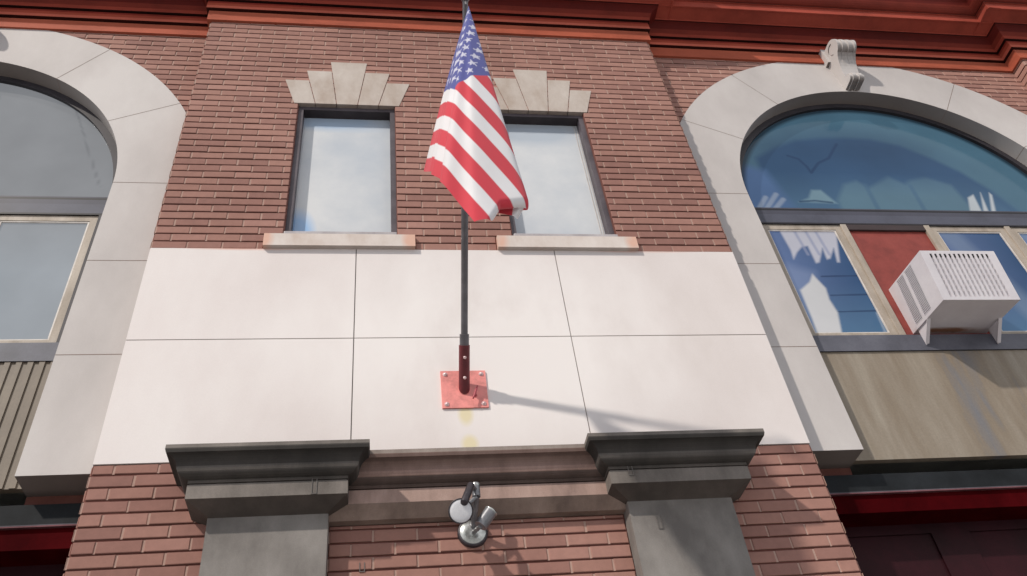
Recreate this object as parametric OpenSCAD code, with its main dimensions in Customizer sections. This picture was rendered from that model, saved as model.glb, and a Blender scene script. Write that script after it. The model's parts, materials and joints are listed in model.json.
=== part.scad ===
// Two-bay brick fire station with limestone dressings and a painted metal cornice.
// Millimetres. X runs along the street front, Y into the building, Z up.
// The origin lies on the ground under the middle of the walls' rectangle.
// Inside the front() module Y = 0 is the face of the centre bay and of the end piers.

/* [Plan] */
// Width of the projecting centre bay
centre_bay_w = 3700; // [3300:50:4300]
// Width of each bay with a vehicle door
door_bay_w = 3700; // [3600:50:4400]
// Width of each end pier
end_pier_w = 950; // [700:50:1400]
// Distance that the vehicle door bays stand back from the centre bay
bay_recess = 150; // [100:10:200]
// Depth of the building from the front face to the rear face
building_depth = 16000; // [12000:500:20000]
// Thickness of the front wall at the centre bay
front_wall_t = 450; // [420:10:600]
// Thickness of the side and rear walls
side_wall_t = 330; // [250:10:450]

/* [Levels] */
// Thickness of the ground floor slab, whose top is the floor of the vehicle bays
ground_floor_t = 120; // [80:10:250]
// Top of the upper floor
upper_floor_z = 4400; // [4250:50:4600]
// Thickness of the upper floor
upper_floor_t = 250; // [150:10:350]
// Height from the upper floor to the foot of the cornice
upper_storey_h = 3750; // [3700:10:3900]
// Height of the roof deck's top over the foot of the cornice
roof_rise = 600; // [450:10:800]
// Thickness of the roof deck
roof_t = 220; // [150:10:300]
// Height of the parapet's brickwork over the foot of the cornice
parapet_h = 1250; // [1150:50:1700]
// Thickness of the coping
coping_t = 80; // [50:5:120]
// Overhang of the coping past each face of a wall
coping_lip = 40; // [20:5:80]

/* [Stone panel] */
// Height of the smooth stone panel on the centre bay
panel_h = 1505; // [1450:5:1520]
// Height of the panel's lower course
panel_lower_h = 781; // [700:1:850]
// Distance of the two upright joints from the middle of the bay
panel_joint_x = 630; // [500:10:900]
// Thickness of the panel's slabs
panel_t = 100; // [60:5:150]
// Width of an open joint between two stones
stone_joint = 6; // [3:1:12]
// Distance that dressed stone stands proud of the brickwork
stone_proud = 12; // [8:1:25]

/* [Centre bay windows] */
// Distance of each window's centre from the middle of the bay
window_x = 728; // [680:2:850]
// Width of the window opening
window_w = 705; // [600:5:760]
// Height of the window sill's top over the upper floor
window_sill_rise = 1210; // [1150:5:1300]
// Height of the window opening
window_h = 1430; // [1200:5:1470]
// Depth of the reveal in front of the window frame
front_reveal = 22; // [15:1:40]
// Width of the bars of the window frame
front_bar_w = 36; // [28:1:50]
// Depth of the window frame
front_frame_t = 90; // [70:5:110]
// Width of the window sill
sill_w = 930; // [880:5:1000]
// Height of the window sill
sill_h = 130; // [100:5:150]
// Distance that the sill stands proud of the brickwork
sill_proud = 45; // [25:5:80]
// Fall of the sill's top towards its nose
sill_fall = 25; // [10:1:40]
// Depth from the face to the back of the sills and of the flat arches
dressing_t = 110; // [80:5:140]
// Width of one stone of the flat arch at its foot
arch_stone_w = 155; // [145:1:160]
// Height of the tallest stone, the keystone of the flat arch
arch_key_h = 570; // [500:5:640]
// Drop of each stone's top below the one nearer the keystone
arch_step_h = 135; // [100:5:150]
// Slope of the joint beside the keystone, in mm sideways for each metre of height
arch_splay = 115; // [80:5:150]
// Further slope of each joint past the one nearer the keystone
arch_splay_step = 85; // [60:5:110]

/* [Arched bays] */
// Drop of the round arch's springing below the foot of the cornice
arch_drop = 1883; // [1850:1:1950]
// Inner radius of the stone surround
surround_inner_r = 1446; // [1350:1:1500]
// Outer radius of the stone surround
surround_outer_r = 1968; // [1940:1:1990]
// Height of the surround's foot over the top of the steel lintel
surround_lift = 85; // [40:5:120]
// Depth of the surround from its face to its back
surround_t = 200; // [190:5:220]
// Width of the dark window frame's face
frame_w = 55; // [40:1:70]
// Depth of the reveal from the bay's brickwork to the window frame
frame_reveal = 120; // [100:5:125]
// Thickness of the window frame
frame_t = 60; // [45:5:65]
// Height of the transom below the springing
transom_h = 182; // [140:1:220]
// Width of a mullion
mullion_w = 46; // [36:1:60]
// Width of the wooden sash members
sash_w = 50; // [35:1:65]
// Thickness of the wooden sash
sash_t = 36; // [28:1:40]
// Thickness of window glass
glass_t = 6; // [4:1:8]
// Height of the top of the slate-coloured sill bar over the upper floor
sill_bar_rise = 560; // [500:5:600]
// Height of the sill bar
sill_bar_h = 134; // [100:2:160]
// Distance that the sill bar stands in front of the window frame
sill_bar_proud = 25; // [10:1:40]
// Thickness of the spandrel panel under the sill bar
spandrel_t = 40; // [25:5:60]
// Number of ribs on the ribbed spandrel panel
rib_count = 48; // [20:2:60]
// Height of one rib
rib_t = 8; // [4:1:12]

/* [Scroll keystones] */
// Width of the scroll at its top
scroll_w = 205; // [180:5:240]
// Height of the scroll's top over the foot of the cornice, which is notched for it
scroll_rise = 100; // [60:5:120]
// Gap between the scroll's foot and the inner edge of the surround
scroll_foot_gap = 8; // [4:1:30]
// Projection of the upper volute from the surround
scroll_proj = 245; // [210:5:280]
// Radius of the upper volute
volute_r = 95; // [80:5:105]
// Radius of the lower volute
foot_volute_r = 52; // [40:2:60]
// Depth of the three flutes on the front of the scroll
flute_d = 12; // [8:1:16]
// Slope of the scroll's sides
scroll_taper = 4; // [2:0.5:5]
// Distance that the block behind the scroll's head stands out at each side
ear_w = 15; // [8:1:30]
// Height of that block
ear_h = 210; // [150:10:240]
// Distance that the block rises over the scroll's top
ear_rise = 55; // [30:5:70]
// Projection of the block from the surround
ear_t = 60; // [40:5:80]

/* [Vehicle doors] */
// Drop of the steel lintel's underside below the upper floor
lintel_drop = 590; // [570:5:650]
// Height of the lintel's web
lintel_h = 122; // [100:2:140]
// Thickness of the lintel's steel
lintel_steel_t = 14; // [10:1:20]
// Height of the red head board under the lintel
door_head_h = 110; // [80:5:160]
// Width of the red side stops
door_stop_w = 90; // [60:5:140]
// Setback of the head board and stops behind the lintel
door_trim_setback = 20; // [10:5:60]
// Thickness of the door sections
door_t = 50; // [40:2:60]
// Number of sections in a door
door_sections = 5; // [4:1:6]
// Gap between two sections
door_gap = 8; // [4:1:12]
// Lap of the door behind the wall at each side
door_lap = 60; // [40:5:90]
// Number of sunk panels along a section
door_panels = 4; // [3:1:6]
// Margin round each sunk panel
door_panel_margin = 120; // [80:5:160]
// Depth of the sunk panels
door_panel_d = 12; // [6:1:20]

/* [Doorway] */
// Width of the entrance opening in the centre bay
entrance_w = 1250; // [1000:10:1340]
// Height of the entrance opening above the floor
entrance_h = 2600; // [2300:10:2900]
// Depth of the entrance frame behind the face of the bay
entrance_reveal = 150; // [100:10:250]
// Depth of the entrance frame from its front to its back
entrance_frame_t = 110; // [90:5:150]
// Width of the entrance frame's face
entrance_frame_w = 60; // [45:5:80]
// Height of the door leaf
leaf_h = 2080; // [2000:10:2140]
// Thickness of the door leaf
leaf_t = 45; // [38:1:55]
// Width of the door leaf's members round its glass
stile_w = 180; // [120:5:220]
// Level of the glass's foot in the door leaf
lock_rail_z = 1050; // [900:10:1200]
// Distance of each pilaster's centre from the middle of the bay
pilaster_x = 990; // [960:5:1010]
// Width of a pilaster
pilaster_w = 540; // [480:5:560]
// Projection of a pilaster
pilaster_proj = 100; // [70:5:120]
// Height of a pilaster's plinth
plinth_h = 300; // [200:10:450]
// Distance that the plinth stands proud of the pilaster
plinth_proud = 30; // [15:5:45]
// Drop of the pilaster's top below the stone panel
pilaster_drop = 360; // [350:5:400]
// Drop of the entablature's top below the stone panel
entablature_drop = 80; // [60:1:110]
// Width of an entablature block before its mouldings
block_w = 320; // [300:10:340]
// Projection of the entablature blocks over the pilasters
block_proj = 300; // [260:5:340]
// Projection of the recessed middle of the entablature
middle_proj = 205; // [160:5:230]
// Drop of the middle's underside below the pilaster's top
middle_drop = 15; // [10:1:40]

/* [Cornice] */
// Height of the painted metal cornice
cornice_h = 830; // [780:10:900]
// Full projection of the cornice
cornice_proj = 480; // [440:10:540]
// Length of the cornice's return along each side wall
cornice_return = 700; // [500:20:1200]

/* [Flagpole] */
// Place of the bracket plate to the right of the middle
bracket_x = -28; // [-60:2:60]
// Drop of the bracket plate's centre below the panel's long joint
bracket_drop = 378; // [320:2:420]
// Width and height of the bracket plate
bracket_plate = 250; // [200:2:280]
// Thickness of the bracket plate
bracket_plate_t = 10; // [8:1:16]
// Length of the socket tube on the plate
socket_len = 240; // [200:5:300]
// Diameter of the socket tube
socket_d = 60; // [56:1:70]
// Slope of the pole above the level
pole_angle = 45; // [35:1:55]
// Length of the pole
pole_len = 2350; // [2250:10:2600]
// Diameter of the pole's lower length
pole_d = 38; // [32:1:46]
// Diameter of the pole's upper length
pole_tip_d = 30; // [24:1:34]
// Distance along the pole at which the upper length begins
pole_joint_s = 1200; // [1000:10:1400]
// Diameter of the ball at the pole's tip
ball_d = 76; // [60:2:90]
// Distance along the pole of the flag's ring
flag_ring_s = 2110; // [2000:10:2150]
// Length of the flag's hoist edge
flag_hoist = 914; // [880:2:940]
// Length of the flag's diagonal, which hangs down
flag_drop = 1774; // [1740:2:1800]

/* [Floodlight] */
// Place of the floodlight's canopy to the right of the middle
lamp_x = -44; // [-120:2:120]
// Drop of the canopy's centre below the middle of the entablature
lamp_drop = 73; // [72:1:150]
// Diameter of the canopy
lamp_canopy_d = 138; // [110:2:142]
// Height of the canopy
lamp_canopy_t = 32; // [20:2:45]
// Diameter of each arm
lamp_arm_d = 22; // [18:1:28]
// Reach of the arm from the wall to its knuckle
lamp_reach = 170; // [150:5:220]
// Diameter of the lamp
lamp_d = 114; // [95:1:125]
// Length of the lamp from its face to the back of its socket
lamp_len = 100; // [80:2:140]
// Diameter of the lamp sockets
lamp_socket_d = 62; // [50:1:70]
// Height of the light sensor over the knuckle
sensor_h = 70; // [50:2:110]
// Diameter of the light sensor
sensor_d = 40; // [30:1:50]

/* [Window air conditioner] */
// Width of the air conditioner
ac_w = 554; // [480:2:580]
// Height of the air conditioner
ac_h = 410; // [380:5:440]
// Distance of its centre from the middle of its light, towards the bay's middle
ac_shift = 24; // [0:2:26]
// Tilt of its case, whose top leans to the street
ac_tilt = 6.5; // [0:0.5:8]
// Projection of its case from the centre bay's plane
ac_front = 100; // [60:5:140]
// Depth of its case
ac_depth = 560; // [500:5:640]
// Number of bars in the grille on its street side
ac_bars = 13; // [9:1:17]
// Margin beside the grille
ac_margin = 52; // [40:2:70]
// Depth of the slots between the bars
ac_slot_d = 16; // [8:1:30]
// Width of each of the two louvres on each side of the case
ac_louvre_w = 85; // [60:5:95]
// Thickness of the bracket plates
ac_plate_t = 5; // [3:0.5:8]
// Width of each bracket's bent edge
ac_flange_w = 26; // [16:1:40]
// Reach of each bracket from the sill bar
ac_bracket_reach = 140; // [100:5:180]
// Drop of each bracket's foot below the sill bar's top
ac_bracket_drop = 90; // [70:5:110]

/* [Side and rear walls] */
// Depth of the reveal in front of the plain windows
plain_reveal = 75; // [50:5:110]
// Width of the plain windows
plain_w = 900; // [800:10:1100]
// Height of the plain windows
plain_h = 1450; // [1200:10:1600]
// Sill level of the ground storey's windows
plain_low_z = 1400; // [1200:10:1600]
// Number of windows along each side wall in each storey
side_windows = 4; // [3:1:5]
// Number of windows along the rear wall in each storey
rear_windows = 3; // [2:1:4]

/* [Hidden] */

// Smooth circles carry over as true round faces
$fn = 48;
// Sides of the large circles of the arches
arch_fn = 96;
// Overshoot of a cutting solid past the face that it cuts
eps = 1;
// Colours of the finishes
brick = "#8d6258";
limestone = "#d2cbc4";
buff_stone = "#c4b2a2";
grey_stone = "#8a8683";
bronze = "#4a4750";
cornice_red = "#8c4036";
door_red = "#5c1218";
wood_cream = "#b8a88f";
concrete = "#8f8f8c";
window_blue = "#8fa6ba";

// Plan
front_y = -building_depth / 2;
rear_y = building_depth / 2;
half_w = centre_bay_w / 2 + door_bay_w + end_pier_w;
side_inner_x = half_w - side_wall_t;
bay_in_x = centre_bay_w / 2;
bay_out_x = centre_bay_w / 2 + door_bay_w;
arch_x = (bay_in_x + bay_out_x) / 2;
stone_y = -stone_proud;
surround_face_y = bay_recess - stone_proud;
surround_back_y = surround_face_y + surround_t;
frame_y = bay_recess + frame_reveal;
spandrel_y = frame_y - sill_bar_proud / 2;

// Levels, each tied to a floor or to the cornice
cornice_foot_z = upper_floor_z + upper_storey_h;
roof_z = cornice_foot_z + roof_rise;
wall_top_z = cornice_foot_z + parapet_h;
window_sill_z = upper_floor_z + window_sill_rise;
window_head_z = window_sill_z + window_h;
panel_top_z = window_sill_z - sill_h;
panel_foot_z = panel_top_z - panel_h;
panel_joint_z = panel_foot_z + panel_lower_h;
pilaster_top_z = panel_foot_z - pilaster_drop;
entablature_top_z = panel_foot_z - entablature_drop;
middle_foot_z = pilaster_top_z - middle_drop;
band_z = pilaster_top_z + 0.16 * (entablature_top_z - pilaster_top_z);
crown_z = pilaster_top_z + 0.5 * (entablature_top_z - pilaster_top_z);
bracket_z = panel_joint_z - bracket_drop;
lamp_z = middle_foot_z - lamp_drop;
lintel_foot_z = upper_floor_z - lintel_drop;
lintel_top_z = lintel_foot_z + lintel_h;
door_head_z = lintel_foot_z - door_head_h;
spring_z = cornice_foot_z - arch_drop;
surround_foot_z = lintel_top_z + surround_lift;
sill_bar_z = upper_floor_z + sill_bar_rise;
sill_bar_foot_z = sill_bar_z - sill_bar_h;
transom_foot_z = spring_z - transom_h;
scroll_top_z = cornice_foot_z + scroll_rise;
scroll_foot_z = spring_z + surround_inner_r + scroll_foot_gap;

// Width of one of the four lights of an arched window
light_w = (surround_inner_r - frame_w) / 2;
// The air conditioner stands in the second light from the centre bay's side
ac_x = arch_x - light_w / 2 + ac_shift;
// Place of the panes in the front windows' frames
front_glass_y = front_reveal + front_frame_t - 15;
// Depth of the frames of the plain windows
plain_frame_t = 70;
// Overhang of the plain windows' sills at each side, and their height
plain_sill_lap = 80;
plain_sill_h = 110;
// Place of the door leaf in its frame, and top of its glass
leaf_y = entrance_reveal + (entrance_frame_t - leaf_t) / 2;
leaf_glass_top = leaf_h - stile_w;
// Height and depth of the entablature's fine groove, and depth of the grooves on the scrolls' sides
groove_h = 8;
// Angles at which the groove on a scroll's side begins and ends
comma_arc = [60, 250];
// Angles at which the entablature's upper curve begins and the cornice's cove ends
cyma_start = 170;
cove_end = 95;
// Gap between a soft solid and what holds it
soft_gap = 0.3;
// Distance along the pole at which its foot stands in the socket
socket_floor = 90;
// Length of the collar over the socket, and how far it stands out from the pole
collar_len = 60;
collar_t = 7;
// Height of the ring on the pole, length and diameter of the clip that hangs from it
ring_h = 12;
clip_len = 60;
clip_d = 12;
// Thickness of the space of the flag's cloth at its edges
flag_edge_t = 24;
// Directions from the flag's upper corner to its lower hoist corner, lowest corner and street-side edge
flag_hoist_way = [-0.25, 0.76, -0.6];
flag_drop_way = [-0.06, -0.03, -1];
flag_side_way = [0.09, 0, -1];
// Place of the flag's upper corner, in the facade's frame
flag_top = [bracket_x, stone_y - bracket_plate_t - flag_ring_s * cos(pole_angle),
    bracket_z + flag_ring_s * sin(pole_angle) - clip_len];
// Places on the floodlight from its canopy's centre, as shares of its reach
sensor_foot = [0.08, -1, 0.62];
lamp_back = [-0.37, -0.98, 0.22];
lamp_face = [-0.43, -1.47, -0.05];
stem_top = [-0.09, -1.38, 0.78];
stem_foot = [-0.35, -1.68, 0.08];
holder_foot = [0.1, -1.18, -0.36];
holder_rim = [0.42, -1.22, 0.05];

// Moves children from the facade's frame to the building's
module front() translate([0, front_y, 0]) children();

// Repeats children to the left and right of the middle, at distance x, without mirroring them
module at_both(x) for (side = [-1, 1]) translate([side * x, 0, 0]) children();

// A box between two corners
module block(a, b) translate(a) cube(b - a);

// Extrudes a profile drawn as (depth, level) along X, from x0 to x1, with depth 0 on the plane y
module along_x(x0, x1, y) translate([x0, y, 0]) rotate([90, 0, 90]) linear_extrude(x1 - x0) children();

// Extrudes an elevation drawn as (x, z) from y0 back to y1
module elevation(y0, y1) translate([0, y1, 0]) rotate([90, 0, 0]) linear_extrude(y1 - y0) children();

// Turns children so that their Z axis runs from point a towards point b
module aimed(a, b) {
    v = b - a;
    translate(a) rotate([0, acos(v[2] / norm(v)), atan2(v[1], v[0])]) children();
}

// A round bar between two points
module rod(a, b, d) aimed(a, b) cylinder(h = norm(b - a), d = d);

// Points of an arc from angle a to angle b
function arc(c, r, a, b, n) = oval_arc(c, [r, r], a, b, n);

// Points of an arc of an ellipse with half axes r
function oval_arc(c, r, a, b, n) = [for (i = [0:n]) let (t = a + (b - a) * i / n)
    c + [r[0] * cos(t), r[1] * sin(t)]];

// Points of a cubic curve with its two end tangents
function curve(p0, p1, p2, p3, n) = [for (i = [0:n]) let (t = i / n, s = 1 - t)
    s * s * s * p0 + 3 * s * s * t * p1 + 3 * s * t * t * p2 + t * t * t * p3];

// Outline with the profile on the right of x1 and mirrored on the left of x0
function both_ways(x0, x1, pts) = concat([for (p = pts) [x1 + p[0], p[1]]],
    [for (i = [len(pts) - 1:-1:0]) [x0 - pts[i][0], pts[i][1]]]);

// Outline of an opening with a half-round head, about x = 0
module arched_outline(r, foot) {
    half_disc(r);
    translate([-r, foot]) square([2 * r, spring_z - foot]);
}

// The upper half of a disc centred on the springing
module half_disc(r) intersection() {
    translate([0, spring_z]) circle(r, $fn = arch_fn);
    translate([-r, spring_z]) square([2 * r, r]);
}

// Left and right edges of the lower light number i, 0 to 3, of an arched window
function light_x0(i) = (i - 2) * light_w + mullion_w / 2;
function light_x1(i) = (i - 1) * light_w - mullion_w / 2;

// Slope of the outer joint of stone number i of a flat arch, 0 at the keystone
function splay(i) = (arch_splay + i * arch_splay_step) / 1000;

// Outline of stone number i of a flat arch, with side = -1 or 1
module flat_stone_outline(i, side) {
    h = arch_key_h - i * arch_step_h;
    x0 = (i - 0.5) * arch_stone_w + (i == 0 ? 0 : stone_joint / 2);
    x1 = (i + 0.5) * arch_stone_w - stone_joint / 2;
    low = i == 0 ? -x1 : x0;
    high = i == 0 ? -x1 - splay(0) * h : x0 + splay(i - 1) * h;
    polygon([[side * low, 0], [side * x1, 0], [side * (x1 + splay(i) * h), h], [side * high, h]]);
}

module flat_arch_outline() {
    flat_stone_outline(0, 1);
    for (side = [-1, 1], i = [1, 2]) flat_stone_outline(i, side);
}

// Pocket in the wall behind a flat arch, without the joints
module flat_arch_pocket() for (i = [0:2]) {
    h = arch_key_h - i * arch_step_h;
    x = (i + 0.5) * arch_stone_w;
    polygon([[-x, -eps], [x, -eps], [x + splay(i) * h, h], [-x - splay(i) * h, h]]);
}

module ground_floor() color(concrete) front() {
    block([-side_inner_x, front_wall_t, 0], [side_inner_x, building_depth - side_wall_t, ground_floor_t]);
    at_both(arch_x)
        block([-door_bay_w / 2, bay_recess, 0], [door_bay_w / 2, front_wall_t + eps, ground_floor_t]);
    block([-entrance_w / 2, 0, 0], [entrance_w / 2, front_wall_t + eps, ground_floor_t]);
}

module inner_slab(top, t) front()
    block([-side_inner_x, front_wall_t, top - t], [side_inner_x, building_depth - side_wall_t, top]);

module upper_floor() color(concrete) inner_slab(upper_floor_z, upper_floor_t);

module roof_deck() color(concrete) inner_slab(roof_z, roof_t);

module centre_bay_lower_wall() color(brick) front() difference() {
    block([-bay_in_x, 0, 0], [bay_in_x, front_wall_t, panel_foot_z]);
    block([-entrance_w / 2, -eps, -eps], [entrance_w / 2, front_wall_t + eps, ground_floor_t + entrance_h]);
}

// Stands on the lower wall, with a rebate for the stone panel along its foot
module centre_bay_upper_wall() color(brick) front() difference() {
    block([-bay_in_x, 0, panel_foot_z], [bay_in_x, front_wall_t, wall_top_z]);
    block([-bay_in_x - eps, -eps, panel_foot_z - eps], [bay_in_x + eps, panel_t, panel_top_z]);
    at_both(window_x) {
        block([-window_w / 2, -eps, window_sill_z], [window_w / 2, front_wall_t + eps, window_head_z]);
        block([-sill_w / 2, -eps, panel_top_z - eps], [sill_w / 2, dressing_t, window_sill_z]);
        translate([0, 0, window_head_z]) elevation(-eps, dressing_t) flat_arch_pocket();
    }
}

module end_piers() color(brick) front() at_both((bay_out_x + half_w) / 2)
    block([-end_pier_w / 2, 0, 0], [end_pier_w / 2, front_wall_t, wall_top_z]);

module arch_wall(side) color(brick) front() translate([side * arch_x, 0, 0]) difference() {
    block([-door_bay_w / 2, bay_recess, lintel_top_z], [door_bay_w / 2, front_wall_t, wall_top_z]);
    elevation(bay_recess - eps, front_wall_t + eps) arched_outline(surround_inner_r, lintel_top_z - eps);
    elevation(bay_recess - eps, surround_back_y) surround_outline(lintel_top_z - eps);
}

// Outer outline of the stone surround, which the bay's sides and the cornice cut off
module surround_outline(foot) intersection() {
    union() {
        translate([0, spring_z]) circle(surround_outer_r, $fn = arch_fn);
        translate([-door_bay_w / 2, foot]) square([door_bay_w, spring_z - foot]);
    }
    translate([-door_bay_w / 2, foot]) square([door_bay_w, cornice_foot_z - foot]);
}

module arch_surround(side) color(limestone) front() translate([side * arch_x, 0, 0]) difference() {
    elevation(surround_face_y, surround_back_y) surround_outline(surround_foot_z);
    elevation(surround_face_y - eps, surround_back_y + eps)
        arched_outline(surround_inner_r, surround_foot_z - eps);
}

// Side view of a scroll keystone as (outward projection, level), cut back by inset
module scroll_outline(inset) {
    r1 = volute_r - inset;
    r2 = foot_volute_r - inset;
    c1 = [scroll_proj - volute_r, scroll_top_z - volute_r];
    c2 = [1.8 * foot_volute_r, scroll_foot_z + foot_volute_r];
    polygon(concat([[0, scroll_top_z - inset]], arc(c1, r1, 90, -70, 16),
        curve(c1 + r1 * [cos(-70), sin(-70)], c1 + [-volute_r * 0.4, -volute_r * 1.6],
            c2 + [foot_volute_r * 0.2, foot_volute_r * 2.2], c2 + r2 * [cos(100), sin(100)], 8),
        arc(c2, r2, 80, -90, 12), [[0, scroll_foot_z + inset]]));
}

// Front view of the scroll, narrower at its foot
module scroll_front() {
    h = scroll_top_z - scroll_foot_z;
    foot_w = scroll_w - 2 * h * tan(scroll_taper);
    polygon([[-foot_w / 2, scroll_foot_z], [foot_w / 2, scroll_foot_z], [scroll_w / 2, scroll_top_z],
        [-scroll_w / 2, scroll_top_z]]);
}

// Front of the block behind the scroll's head
module ear_front() translate([-scroll_w / 2 - ear_w, scroll_top_z + ear_rise - ear_h])
    square([scroll_w + 2 * ear_w, ear_h]);

// A fluted console with a comma-shaped groove on each side, on a block that fills the cornice's notch
module scroll() {
    rib = scroll_w / 7;
    groove = volute_r * [0.66, 0.5];
    c = [scroll_proj - volute_r, scroll_top_z - volute_r];
    side_x = scroll_w / 2 - volute_r * tan(scroll_taper) - groove_h;
    difference() {
        intersection() {
            union() {
                along_x(-scroll_w / 2, scroll_w / 2, 0) mirror([1, 0]) scroll_outline(flute_d);
                for (i = [0:3]) translate([(2 * i - 3.5) * rib, 0, 0])
                    along_x(0, rib, 0) mirror([1, 0]) scroll_outline(0);
            }
            elevation(-scroll_proj - eps, eps) scroll_front();
        }
        for (x = [-scroll_w, side_x]) along_x(x, x + scroll_w - side_x, 0) mirror([1, 0])
            polygon(concat(arc(c, groove[0], comma_arc[0], comma_arc[1], 12),
                arc(c, groove[1], comma_arc[1], comma_arc[0], 12)));
    }
    difference() {
        elevation(-ear_t, stone_proud) ear_front();
        block([-scroll_w, 0, scroll_foot_z], [scroll_w, stone_proud + eps, cornice_foot_z]);
    }
}

module scroll_keystones() color(limestone) front() at_both(arch_x) translate([0, surround_face_y, 0])
    scroll();

// Channel-section lintels, with the web to the street
module door_lintels() color(bronze) front() at_both(arch_x) {
    depth = front_wall_t - frame_y;
    t = lintel_steel_t;
    along_x(-door_bay_w / 2, door_bay_w / 2, frame_y) difference() {
        translate([0, lintel_foot_z]) square([depth, lintel_h]);
        translate([t, lintel_foot_z + t]) square([depth, lintel_h - 2 * t]);
    }
}

// A panel across the arched window under its sill bar, with upright ribs or plain
module spandrel(side, ribs) front() translate([side * arch_x, spandrel_y, 0]) {
    w = 2 * surround_inner_r;
    block([-w / 2, 0, surround_foot_z], [w / 2, spandrel_t, sill_bar_foot_z]);
    if (ribs > 0) for (i = [0:ribs - 1]) translate([-w / 2 + i * w / ribs, -rib_t, surround_foot_z])
        cube([w / ribs / 2, rib_t + eps, sill_bar_foot_z - surround_foot_z]);
}

module left_spandrel_panel() color("#8c7f6c") spandrel(-1, rib_count);

module right_spandrel_panel() color("#93856f") spandrel(1, 0);

module window_sill_bars() color(bronze) front() at_both(arch_x)
    block([-surround_inner_r, frame_y - sill_bar_proud, sill_bar_foot_z],
        [surround_inner_r, frame_y + frame_t, sill_bar_z]);

module arch_window_frames() color(bronze) front() at_both(arch_x) translate([0, frame_y, 0]) difference() {
    elevation(0, frame_t) arched_outline(surround_inner_r, sill_bar_z);
    elevation(-eps, frame_t + eps) half_disc(surround_inner_r - frame_w);
    for (i = [0:3])
        block([light_x0(i), -eps, sill_bar_z - eps], [light_x1(i), frame_t + eps, transom_foot_z]);
}

// The air conditioner's light has neither pane nor sash
module arch_window_glass() color(window_blue, 0.5) front() for (side = [-1, 1])
    translate([side * arch_x, frame_y + (frame_t - glass_t) / 2, 0]) {
        elevation(0, glass_t) half_disc(surround_inner_r - frame_w);
        for (i = [0:3]) if (side < 0 || i != 1)
            block([light_x0(i) + sash_w, 0, sill_bar_z + sash_w],
                [light_x1(i) - sash_w, glass_t, transom_foot_z - sash_w]);
    }

module wooden_sashes() color(wood_cream) front() for (side = [-1, 1])
    translate([side * arch_x, frame_y + (frame_t - sash_t) / 2, 0]) for (i = [0:3])
        if (side < 0 || i != 1) difference() {
            block([light_x0(i), 0, sill_bar_z], [light_x1(i), sash_t, transom_foot_z]);
            block([light_x0(i) + sash_w, -eps, sill_bar_z + sash_w],
                [light_x1(i) - sash_w, sash_t + eps, transom_foot_z - sash_w]);
        }

// Closes the light round the air conditioner
module blanking_board() color("#97463e") difference() {
    front() translate([arch_x, frame_y + frame_t / 3, 0])
        block([light_x0(1), 0, sill_bar_z], [light_x1(1), frame_t / 3, transom_foot_z]);
    air_conditioner_case();
}

// Moves children from the case's lower front edge to its place, tilted
module on_case() front() translate([ac_x, -ac_front, sill_bar_z]) rotate([ac_tilt, 0, 0]) children();

// Level of the case's underside at depth y
function case_floor(y) = sill_bar_z + (y + ac_front) * tan(ac_tilt);

module air_conditioner_case() on_case() block([-ac_w / 2, 0, 0], [ac_w / 2, ac_depth, ac_h]);

// A case with a barred grille to the street and two louvres on each side
module air_conditioner() color("#c9c9d2") difference() {
    air_conditioner_case();
    pitch = (ac_w - 2 * ac_margin) / ac_bars;
    rise = ac_margin / 2;
    on_case() for (i = [0:ac_bars - 1])
        translate([-ac_w / 2 + ac_margin + (i + 0.25) * pitch, -eps, rise])
            cube([pitch / 2, ac_slot_d + eps, ac_h - 2 * rise]);
    on_case() for (side = [-1, 1], j = [0, 1])
        translate([side * ac_w / 2 - ac_slot_d / 2, 2.6 * ac_margin + j * (ac_louvre_w + rise), rise])
            cube([ac_slot_d, ac_louvre_w, ac_h - 1.5 * rise]);
}

// Two tapered plates that stand on the sill bar's front and carry the case, with their front edges bent over
module air_conditioner_brackets() color("#c9c9d2") front() translate([ac_x, 0, 0]) for (side = [-1, 1]) {
    bar_face = frame_y - sill_bar_proud;
    x = side * (ac_w - ac_flange_w) / 2;
    nose = [bar_face - ac_bracket_reach, case_floor(bar_face - ac_bracket_reach)];
    foot = [bar_face - ac_flange_w / 2, sill_bar_z - ac_bracket_drop];
    normal = ac_plate_t * [nose[1] - foot[1], foot[0] - nose[0]] / norm(foot - nose);
    along_x(x - ac_plate_t / 2, x + ac_plate_t / 2, 0)
        polygon([nose, [bar_face, case_floor(bar_face)], [bar_face, foot[1]], foot]);
    along_x(x - ac_flange_w / 2, x + ac_flange_w / 2, 0)
        polygon([nose, nose + [normal[0] * 2, 0], foot + normal, foot]);
}

// Sections that lap behind the wall on both sides and above, with sunk panels
module vehicle_doors() color(door_red) front() at_both(arch_x) {
    w = door_bay_w / 2 + door_lap;
    h = (door_head_z + door_lap - ground_floor_t) / door_sections;
    pitch = door_bay_w / door_panels;
    for (i = [0:door_sections - 1]) translate([0, front_wall_t, ground_floor_t + i * h]) difference() {
        block([-w, 0, i == 0 ? 0 : door_gap], [w, door_t, h]);
        for (j = [0:door_panels - 1])
            translate([-door_bay_w / 2 + j * pitch + door_panel_margin, -eps, door_panel_margin])
                cube([pitch - 2 * door_panel_margin, door_panel_d + eps, h - 2 * door_panel_margin]);
    }
}

module vehicle_door_trim() color("#7a1d22") front() at_both(arch_x) difference() {
    block([-door_bay_w / 2, frame_y + door_trim_setback, ground_floor_t],
        [door_bay_w / 2, front_wall_t, lintel_foot_z]);
    block([-door_bay_w / 2 + door_stop_w, frame_y, ground_floor_t - eps],
        [door_bay_w / 2 - door_stop_w, front_wall_t + eps, door_head_z]);
}

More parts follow.
